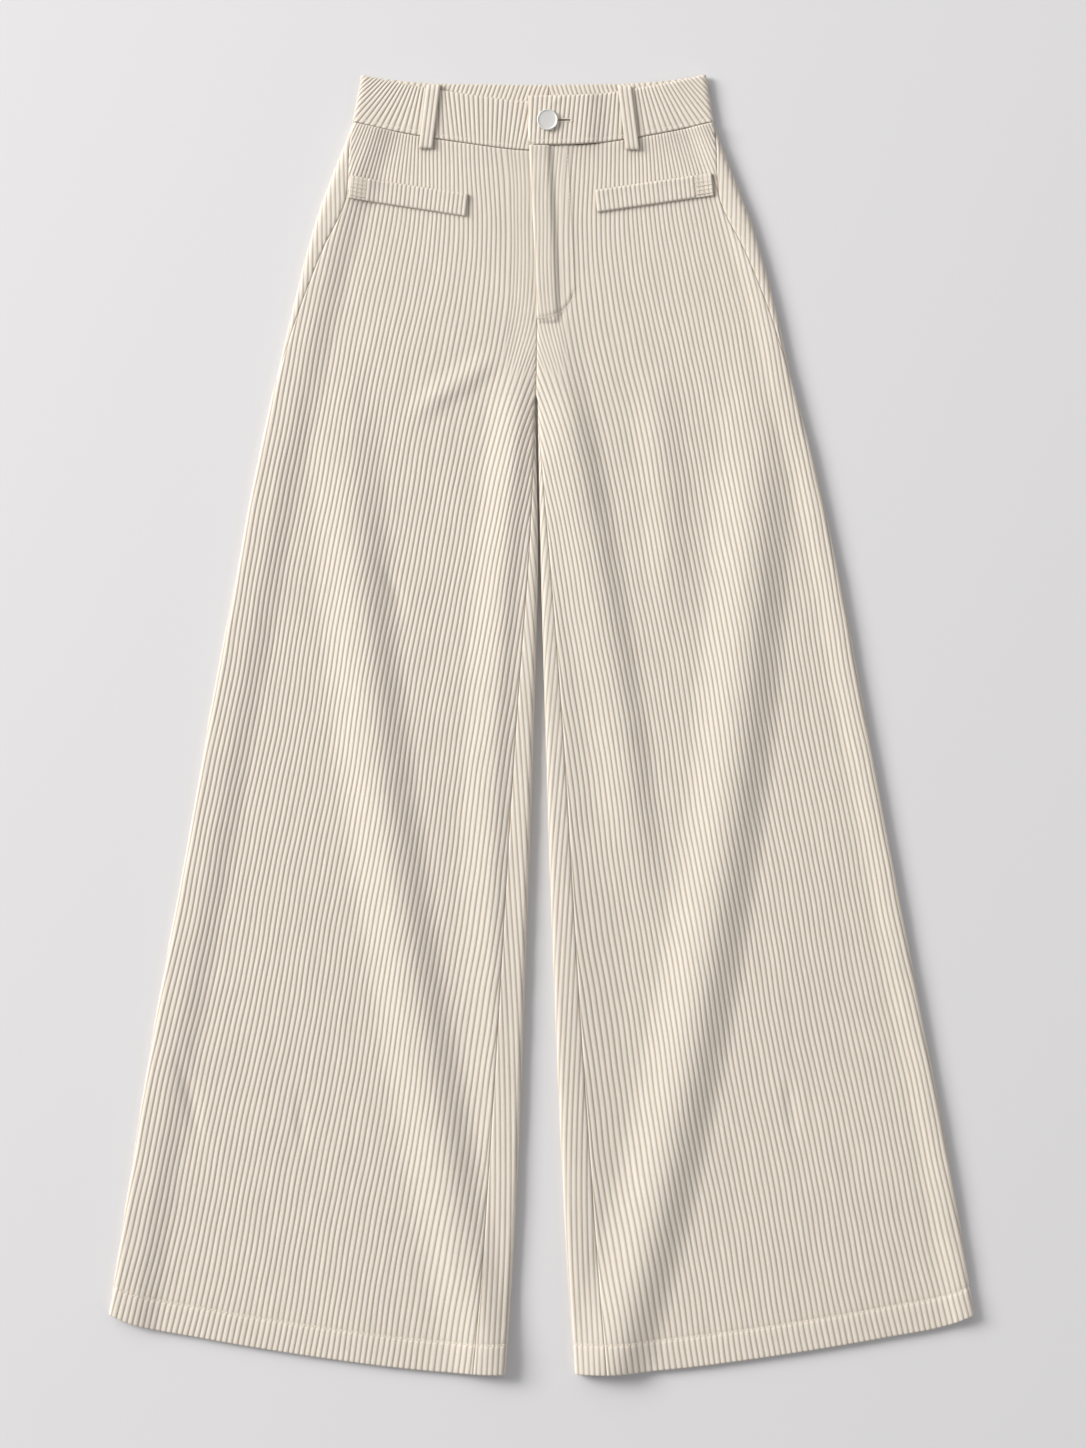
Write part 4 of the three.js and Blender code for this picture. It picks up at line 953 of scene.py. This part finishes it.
def band_mesh(side):
    sign = INWARD[side]
    begin = BAND_START[side]
    rises = np.array([0, 0.008, 0.02, 0.045, 0.08, 0.13, 0.2, 0.28, 0.36, 0.44, 0.52, 0.6, 0.68,
                      0.76, 0.84, 0.9, 0.945, 0.972, 0.988, 0.997, 1])[:, None]
    side_x = band_edge(side, rises) + sign * BAND_RADIUS
    front_run = (begin - side_x) * sign
    turn_run = np.pi * BAND_RADIUS
    total = front_run + turn_run + np.abs(CENTRE_BACK_X - sign * 0.15 - side_x)
    numbers = rib_columns(-6, int(np.max(total) / BAND_WALE_PITCH) + 7)
    plain = numbers * BAND_WALE_PITCH
    lean = -sign * np.interp(begin - sign * plain, BAND_LEAN[side]["x"], BAND_LEAN[side]["lean"])
    lean = lean * (1 - smooth((plain - front_run.mean() - turn_run) / 60))
    along_band = held(plain + lean * (rises - 0.5) * BAND_HEIGHT, 0, total)
    beyond = along_band - front_run
    turn = np.pi / 2 - np.clip(beyond / BAND_RADIUS, 0, np.pi)
    back_run = np.maximum(beyond - turn_run, 0)

    def place(reduce):
        on_front = beyond <= 0
        x = np.where(on_front, begin - sign * along_band,
                     side_x - sign * (BAND_RADIUS - reduce) * np.cos(turn) + sign * back_run)
        y = band_y(side, x, rises, smooth(back_run / 14))
        if side == "left":
            corner = OVERLAP["corner"] - np.clip(x - begin, 0, OVERLAP["corner"])
            cut = OVERLAP["corner"] - np.sqrt(OVERLAP["corner"] ** 2 - corner ** 2)
            y = np.where(on_front, y + cut * (1 - rises), y)
        z = np.where(on_front, band_top(side, x, y) - reduce,
                     BAND_MIDDLE + (BAND_HALF - reduce) * np.sin(turn))
        return np.stack([x, y, z], -1)

    from_seam = rises * BAND_HEIGHT + 0 * along_band
    from_top = (1 - rises) * BAND_HEIGHT + 0 * along_band
    fall = rounding(from_seam, **BAND_SEAM_ROUND) + rounding(from_top, **BAND_TOP_ROUND)
    if side == "left":
        fall = np.minimum(fall + rounding(along_band, **BAND_END_ROUND), 0.9 * BAND_WALL)
    ribs = smooth(from_seam / 1.2 + 0.2) * smooth(from_top / 1.8 + 0.2)
    ribs = ribs * (1 - 0.5 * np.exp(-(from_seam - BAND_SEAM_STITCH) ** 2))
    if side == "left":
        ribs = ribs * smooth(along_band / 1.8)
    else:
        ribs = ribs * smooth((along_band - UNDERLAP_PLAIN) / 3)
    topside = 1 - smooth(beyond / (turn_run / 2))
    outside = place(fall)
    inside = place(BAND_WALL)
    tilt = np.stack([-sign * np.cos(turn) * (beyond > 0), 0 * turn, np.sin(turn)], -1)
    fields = {"wale": (along_band - lean * (rises - 0.5) * BAND_HEIGHT) / BAND_WALE_PITCH,
              "lift": ribs * topside, "sink": ribs * (1 - topside) * SUNK_SHARE, "outward": tilt}
    behind = smooth(back_run / 3)
    inner = {"wale": fields["wale"], "lift": 0.8 * behind * smooth(from_top / 1.2 + 0.2),
             "sink": 0 * behind, "outward": -tilt}
    kept = list(range(along_band.shape[1]))
    return wall_mesh(f"waistband_{side}", outside, inside, kept, fields, inner)


def keyhole_cutter():
    """The buttonhole's outline through the front of the band alone."""
    half = BUTTONHOLE["slit"] / 2
    first = math.asin(half / BUTTONHOLE["eyelet"])
    turns = [mix(first, 2 * math.pi - first, k / 24) for k in range(25)]
    ring = [(BUTTONHOLE["eyelet"] * math.cos(t), BUTTONHOLE["eyelet"] * math.sin(t)) for t in turns]
    ring += [(BUTTONHOLE["length"], -half), (BUTTONHOLE["length"], half)]
    shift = (BUTTON["x"] + GARMENT_SHIFT[0], BUTTON["y"] + GARMENT_SHIFT[1])
    count = len(ring)
    points = [((x + shift[0]) * MM, (y + shift[1]) * MM, z * MM) for z in (4.3, 16) for x, y in ring]
    sides = [(k, (k + 1) % count, count + (k + 1) % count, count + k) for k in range(count)]
    mesh = bpy.data.meshes.new("keyhole")
    ends = [tuple(reversed(range(count))), tuple(range(count, 2 * count))]
    mesh.from_pydata(points, [], [*ends, *sides])
    return add_object("keyhole", mesh)


for order, side in enumerate(("right", "left")):
    band = cloth_piece(f"corduroy_waistband_{side}", band_mesh(side), 23 + order, rise=BAND_WALE_RISE)
    if side == "left":
        keyhole = keyhole_cutter()
        cut = band.modifiers.new("buttonhole", "BOOLEAN")
        cut.object = keyhole
        cut.operation = "DIFFERENCE"
        cut.solver = "EXACT"
        holed = plain_mesh(band)
        band.modifiers.clear()
        band.data = holed
        bpy.data.objects.remove(keyhole)
    declare_cloth(band, f"waistband_{side}")

# The belt loops are strips of three wales, folded under at both edges and sewn flat: the front
# two over the band and the seam below it, the three at the back under the band, out of sight.
LOOP = dict(width=12.5, wall=1.5, tail=10, rise=0.55, ribs=3)
FRONT_LOOPS = {"right": (-95.7, -102.5), "left": (72.8, 79.6)}
BACK_LOOPS = {"right": -104, "centre": 6, "left": 92}
BACK_LOOP = dict(wall=0.7, rise=0.4)


def strap_mesh(name, stations, wall):
    """A flat strap along stations of (middle of its underside, direction away from the garment)."""
    width, ribs = LOOP["width"], LOOP["ribs"]
    numbers = np.append(rib_columns(0, ribs), ribs)[None, :]
    across = (numbers / ribs - 0.5) * width
    at = np.array([s[0] for s in stations], float)[:, None, :]
    out = np.array([s[1] for s in stations], float)[:, None, :]
    out = out / np.linalg.norm(out, axis=2, keepdims=True)
    step = np.cumsum(np.r_[0, np.linalg.norm(np.diff(at[:, 0], axis=0), axis=1)])[:, None]
    to_side = width / 2 - np.abs(across) + 0 * step
    to_end = np.minimum(step, step[-1] - step) + 0 * across
    fall = rounding(to_side, 1.2, 0.8) + rounding(to_end, 0.9, 0.7)
    thick = wall - np.minimum(fall, 0.8 * wall)
    base = at + across[..., None] * np.array([1.0, 0, 0])
    outside = base + out * thick[..., None]
    kept = [0, numbers.shape[1] // 2, numbers.shape[1] - 1]
    lift = smooth(to_side / 0.8) * smooth(to_end / 0.8)
    fields = {"wale": numbers + 0 * step, "lift": lift, "sink": 0 * lift,
              "outward": np.broadcast_to(out, outside.shape)}
    return wall_mesh(name, outside, base[:, kept], kept, fields)


def front_loop_stations(side):
    top_x, bottom_x = FRONT_LOOPS[side]
    clear = SEAM_GAP + 0.7
    seam_y = float(band_y(side, (top_x + bottom_x) / 2, 0, 0))
    half = LOOP["width"] / 2
    top_y = max(float(band_y(side, top_x + edge * half, 1, 0)) for edge in (-1, 1))
    length = top_y - seam_y + LOOP["tail"]

    def x_at(y):
        return mix(bottom_x, top_x, (y - seam_y + LOOP["tail"]) / length)

    over_band = float(band_top(side, np.array(top_x), np.array(top_y))) + clear

    def tail_height(y):
        spots = np.array([x_at(y) + edge * half for edge in (-1, 0, 1)])
        return float(np.max(front_base(side, spots, y))) + WALE_RISE + 2 * SEAM_GAP

    profile = [(seam_y - LOOP["tail"], tail_height(seam_y - LOOP["tail"])),
               (seam_y - 6, tail_height(seam_y - 6) + 0.1),
               (seam_y - 3, max(tail_height(seam_y - 3), over_band)),
               (seam_y - 0.5, over_band + 0.1),
               (mix(seam_y, top_y, 0.3), over_band + 0.55),
               (mix(seam_y, top_y, 0.65), over_band + 0.5),
               (top_y - 3.5, over_band + 0.3), (top_y - 0.6, over_band - 0.1),
               (top_y + 0.9, over_band - 1.1), (top_y + 1.2, BAND_FRONT_Z + 0.4)]
    way = np.array(profile)
    run = np.r_[0, np.cumsum(np.hypot(*np.diff(way, axis=0).T))]
    table = {"run": list(run), "y": list(way[:, 0]), "z": list(way[:, 1])}
    steps = np.linspace(0, run[-1], 44)
    ys, zs = along(table, "run", "y", steps), along(table, "run", "z", steps)
    dy, dz = np.gradient(ys), np.gradient(zs)
    return [((x_at(y), y, z), (0, -sz, sy)) for y, z, sy, sz in zip(ys, zs, dy, dz)]


for order, side in enumerate(("right", "left")):
    strap = strap_mesh(f"loop_front_{side}", front_loop_stations(side), LOOP["wall"])
    loop = cloth_piece(f"corduroy_loop_front_{side}", strap, seed=33 + order, rise=LOOP["rise"])
    declare_cloth(loop, f"belt_loop_front_{side}")
for order, (place, x) in enumerate(BACK_LOOPS.items()):
    stations = [((x, float(band_y("right", float(x), share, 1)), 0), (0, 0, 1))
                for share in np.linspace(0.02, 0.98, 24)]
    strap = strap_mesh(f"loop_back_{place}", stations, BACK_LOOP["wall"])
    loop = cloth_piece(f"corduroy_loop_back_{place}", strap, seed=37 + order, rise=BACK_LOOP["rise"])
    declare_cloth(loop, f"belt_loop_back_{place}")

# The pocket welts are strips of the same cloth with their own upright wales, folded double and
# sewn on to the fronts, with a block of bar tacks at the outer end.
WELTS = {
    "right": dict(outer=(-168.5, 483.8), inner=(-65, 468)),
    "left": dict(outer=(149, 486.4), inner=(46.3, 471.5)),
}
WELT = dict(depth=19.8, wall=1.8, lean=2.2, rise=0.6, pitch=3.9)


def welt_place(side, share, down):
    """x and y of a place along a welt and down it, and the top of the front's wales under it."""
    sign = INWARD[side]
    (outer_x, outer_y), (inner_x, inner_y) = WELTS[side]["outer"], WELTS[side]["inner"]
    x = mix(outer_x, inner_x, share) - sign * WELT["lean"] * down
    y = mix(outer_y, inner_y, share) - WELT["depth"] * down
    near = [front_base(side, x + step, y) for step in (-4, -2, 0, 2, 4)]
    return x, y, np.max(near, axis=0) + WALE_RISE + 0.15


def welt_mesh(side):
    (outer_x, _), (inner_x, _) = WELTS[side]["outer"], WELTS[side]["inner"]
    length = abs(inner_x - outer_x)
    ribs = round(length / WELT["pitch"])
    numbers = np.append(rib_columns(0, ribs), ribs)[None, :]
    downs = np.array([0, 0.01, 0.025, 0.05, 0.09, 0.15, 0.25, 0.38, 0.5, 0.62, 0.75, 0.85, 0.91,
                      0.95, 0.975, 0.99, 1])[:, None]
    x, y, base = welt_place(side, numbers / ribs, downs)
    to_end = np.minimum(numbers, ribs - numbers) * WELT["pitch"] + 0 * downs
    to_long = np.minimum(downs, 1 - downs) * WELT["depth"] + 0 * numbers
    out = WELT["wall"] - np.minimum(rounding(to_end, 1.3) + rounding(to_long, 1.3), 0.8 * WELT["wall"])
    out = out + 0.35 * np.exp(-((downs - 0.12) / 0.1) ** 2)
    block = 1 - smooth((numbers * WELT["pitch"] - 15) / 2)
    lift = smooth(to_end / 1.0) * smooth(to_long / 1.4) * (1 - 0.85 * block)
    out = out - 0.25 * block + 0.35 * block * np.cos(downs * np.pi * 10) * smooth(to_end / 1.5)
    kept = [*range(0, x.shape[1] - 1, 6), x.shape[1] - 1]
    upward = np.broadcast_to(np.array([0.0, 0, 1]), (*x.shape, 3))
    fields = {"wale": numbers + 0 * downs, "lift": lift, "sink": 0 * lift, "outward": upward}
    return wall_mesh(f"welt_{side}", np.stack([x, y, base + out], -1),
                     np.stack([x, y, base], -1)[:, kept], kept, fields)


for order, side in enumerate(("right", "left")):
    welt = cloth_piece(f"corduroy_welt_{side}", welt_mesh(side), seed=43 + order, rise=WELT["rise"])
    declare_cloth(welt, f"welt_{side}")

# The button is a satin zinc shank button: a dished face in a rounded rim, on a shank riveted to
# the underlap and passed through the buttonhole's eyelet.
DARK_ZINC = (0.71, 0.705, 0.69, 1)
PALE_ZINC = (0.79, 0.785, 0.77, 1)
satin, zinc, zinc_shader = new_material("satin_zinc")
from_button = add_node(zinc, "ShaderNodeMapping", {
    "Vector": add_node(zinc, "ShaderNodeTexCoord")["Object"],
    "Location": (-(BUTTON["x"] + GARMENT_SHIFT[0]) * MM, -(BUTTON["y"] + GARMENT_SHIFT[1]) * MM, 0)})
grain = noise(zinc, from_button[0], 2600.0, 3.0)
cloud = noise(zinc, from_button[0], 130.0)
set_inputs(zinc, zinc_shader, {
    "Base Color": mix_colour(zinc, cloud, DARK_ZINC, PALE_ZINC), "Metallic": 0.35,
    "Roughness": remap(zinc, grain, 0.34, 0.5), "Normal": bump(zinc, grain, 0.12, 0.0001)})


def button_mesh():
    foot = BAND_FRONT_Z + BAND_WALL + SEAM_GAP
    under = BAND_FRONT_Z + BAND_WALL + OVERLAP["rise"] + BAND_WALE_RISE + 0.15
    top = under + BUTTON["wall"]
    radius, rim, dish = BUTTON["radius"], BUTTON["rim"], BUTTON["dish"]
    face = top - dish
    profile = [(0, foot), (BUTTON["shank"], foot), (BUTTON["shank"], under), (radius - 1.2, under),
               (radius - 0.5, under + 0.2), (radius - 0.1, under + 0.7), (radius, under + 1.3),
               (radius, top - 0.8), (radius - 0.1, top - 0.4), (radius - 0.35, top - 0.1),
               (radius - 0.65, top), (radius - rim, top - 0.04), (radius - rim - 0.22, top - 0.3),
               (radius - rim - 0.5, face), (radius - rim - 1.2, face - 0.06),
               (radius * 0.5, face - 0.18), (radius * 0.2, face - 0.22), (0, face - 0.23)]
    sides = 96
    centre = np.array([BUTTON["x"] + GARMENT_SHIFT[0], BUTTON["y"] + GARMENT_SHIFT[1]])
    points, faces, rings = [], [], []
    for r, z in profile:
        count = 1 if r == 0 else sides
        rings.append(range(len(points), len(points) + count))
        for k in range(count):
            turn = 2 * math.pi * k / sides
            x, y = centre + r * np.array([math.cos(turn), math.sin(turn)])
            points.append((x * MM, y * MM, z * MM))
    for low, high in zip(rings, rings[1:]):
        for k in range(sides):
            a, b = low[k % len(low)], low[(k + 1) % len(low)]
            c, d = high[(k + 1) % len(high)], high[k % len(high)]
            faces.append([v for n, v in enumerate((a, b, c, d)) if v not in (a, b, c, d)[:n]])
    mesh = bpy.data.meshes.new("shank_button")
    mesh.from_pydata(points, [], faces)
    mesh.shade_smooth()
    return mesh


button = add_object("shank_button", button_mesh())
button.data.materials.append(satin)
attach(button, "root")
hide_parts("button")

# All seams that show are lockstitched with cream thread; stitches are laid along the hems, the foot of
# the band and the fly's J, and as bar tacks on the welts and round the buttonhole.
PALE_THREAD = (0.86, 0.80, 0.71, 1)
DARK_THREAD = (0.74, 0.67, 0.57, 1)
thread, strand, strand_shader = new_material("cream_thread")
twist = noise(strand, add_node(strand, "ShaderNodeTexCoord")["Object"], 3500.0)
set_inputs(strand, strand_shader, {
    "Base Color": mix_colour(strand, twist, DARK_THREAD, PALE_THREAD),
    "Normal": bump(strand, twist, 0.4, 0.0002), "Roughness": 0.7})

lockstitch, sewn = new_tree("lockstitch", {
    "Seam": "Geometry", "Stitch": "Float", "Pitch": "Float", "Thread": "Float", "Finish": "Material"})
spaced = add_node(lockstitch, "GeometryNodeResampleCurve", {
    "Curve": sewn["Seam"], "Length": sewn["Pitch"]}, mode="LENGTH")
holes = add_node(lockstitch, "GeometryNodeCurveToPoints", {"Curve": spaced[0]}, mode="EVALUATED")
bead = add_node(lockstitch, "GeometryNodeMeshUVSphere", {"Segments": 8, "Rings": 5, "Radius": 0.5})
facing = add_node(lockstitch, "FunctionNodeAlignRotationToVector",
                  {"Vector": holes["Tangent"]}, axis="X")
long_way = add_node(lockstitch, "ShaderNodeCombineXYZ", {
    0: sewn["Stitch"], 1: sewn["Thread"], 2: sewn["Thread"]})
stitches = add_node(lockstitch, "GeometryNodeInstanceOnPoints", {
    "Points": holes["Points"], "Instance": bead["Mesh"], "Rotation": facing[0], "Scale": long_way[0]})
laid = add_node(lockstitch, "GeometryNodeRealizeInstances", {"Geometry": stitches[0]})
rounded = add_node(lockstitch, "GeometryNodeSetShadeSmooth", {"Geometry": laid[0]})
coloured = add_node(lockstitch, "GeometryNodeSetMaterial", {
    "Geometry": rounded[0], "Material": sewn["Finish"]})
add_node(lockstitch, "NodeGroupOutput", {"Result": coloured[0]})


def sew(name, seams, stitch=2.6, pitch=3.3, thick=0.62):
    """One piece of stitching along one or more lines of points, in millimetres."""
    path = bpy.data.curves.new(name, "CURVE")
    path.dimensions = "3D"
    for line in seams:
        line = (np.asarray(line, float) + np.array([*GARMENT_SHIFT, 0])) * MM
        spline = path.splines.new("POLY")
        spline.points.add(len(line) - 1)
        for point, at in zip(spline.points, line):
            point.co = (*at, 1)
    piece = grow(name, path, lockstitch, {
        "Stitch": stitch * MM, "Pitch": pitch * MM, "Thread": thick * MM, "Finish": thread})
    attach(piece, "root")


for side in ("right", "left"):
    level = np.array([[HEM_Y + HEM_DEPTH]])
    hem_girths = np.linspace(-3.2, float(front_girth(side, -530)) + 3.0, 260)[None, :]
    y, girth = section_girths(side, level, lambda y: hem_girths + 0 * y)
    line, _ = leg_point(side, y, girth, CLOTH + 0.22)
    under_x = np.linspace(line[0, -1, 0], line[0, 0, 0], 160)[4:-4]
    under = np.stack([under_x, section_y(HEM_Y + HEM_DEPTH, under_x), 0 * under_x + 0.42], -1)
    sew(f"hem_stitching_{side}", [line[0], under], stitch=2.4, thick=0.8)

fly_y = np.linspace(WAIST_SEAM_Y - 3, FLY_END_Y + PLACKET["curve"], 60)
fly_x = centre_front(fly_y) + PLACKET["width"] - PLACKET["inset"]
bend = np.linspace(0, np.pi / 2, 30)[1:]
bend_y = FLY_END_Y + PLACKET["curve"] - (PLACKET["curve"] - PLACKET["inset"]) * np.sin(bend)
bend_x = centre_front(bend_y) + (PLACKET["width"] - PLACKET["inset"]) * np.cos(bend)
j_x, j_y = np.r_[fly_x, bend_x], np.r_[fly_y, bend_y]
sew("fly_stitching", [np.stack([j_x, j_y, front_base("left", j_x, j_y) + 0.42], -1)])

seam_rows = []
for side, x0, x1 in (("right", -13.5, -158), ("left", -8, 146)):
    xs = np.linspace(x0, x1, 120)
    ys = band_y(side, xs, 0, 0) + BAND_SEAM_STITCH
    seam_rows.append(np.stack([xs, ys, band_top(side, xs, ys) + 0.28], -1))
sew("waistband_stitching", seam_rows, thick=0.55)

slit_x = BUTTON["x"] + np.linspace(BUTTONHOLE["eyelet"], BUTTONHOLE["length"] + 0.6, 40)
end_turn = np.linspace(-np.pi / 2, np.pi / 2, 9)
tip = BUTTONHOLE["tip"]
purl_x = np.r_[slit_x, slit_x[-1] + tip * np.cos(end_turn), slit_x[::-1]]
purl_y = BUTTON["y"] + np.r_[0 * slit_x - tip, tip * np.sin(end_turn), 0 * slit_x + tip]
sew("buttonhole_stitching", [np.stack([purl_x, purl_y, band_top("left", purl_x, purl_y) + 0.75], -1)],
    stitch=0.8, pitch=0.95, thick=0.9)

tack_rows = []
for side in ("right", "left"):
    length = abs(WELTS[side]["inner"][0] - WELTS[side]["outer"][0])
    shares = np.linspace(1.5, 14.5, 12) / length
    for row in range(5):
        x, y, base = welt_place(side, shares, 0.14 + 0.18 * row)
        tack_rows.append(np.stack([x, y, base + WELT["wall"] + 0.1], -1))
sew("welt_tacks", tack_rows, stitch=1.5, pitch=1.55, thick=0.8)
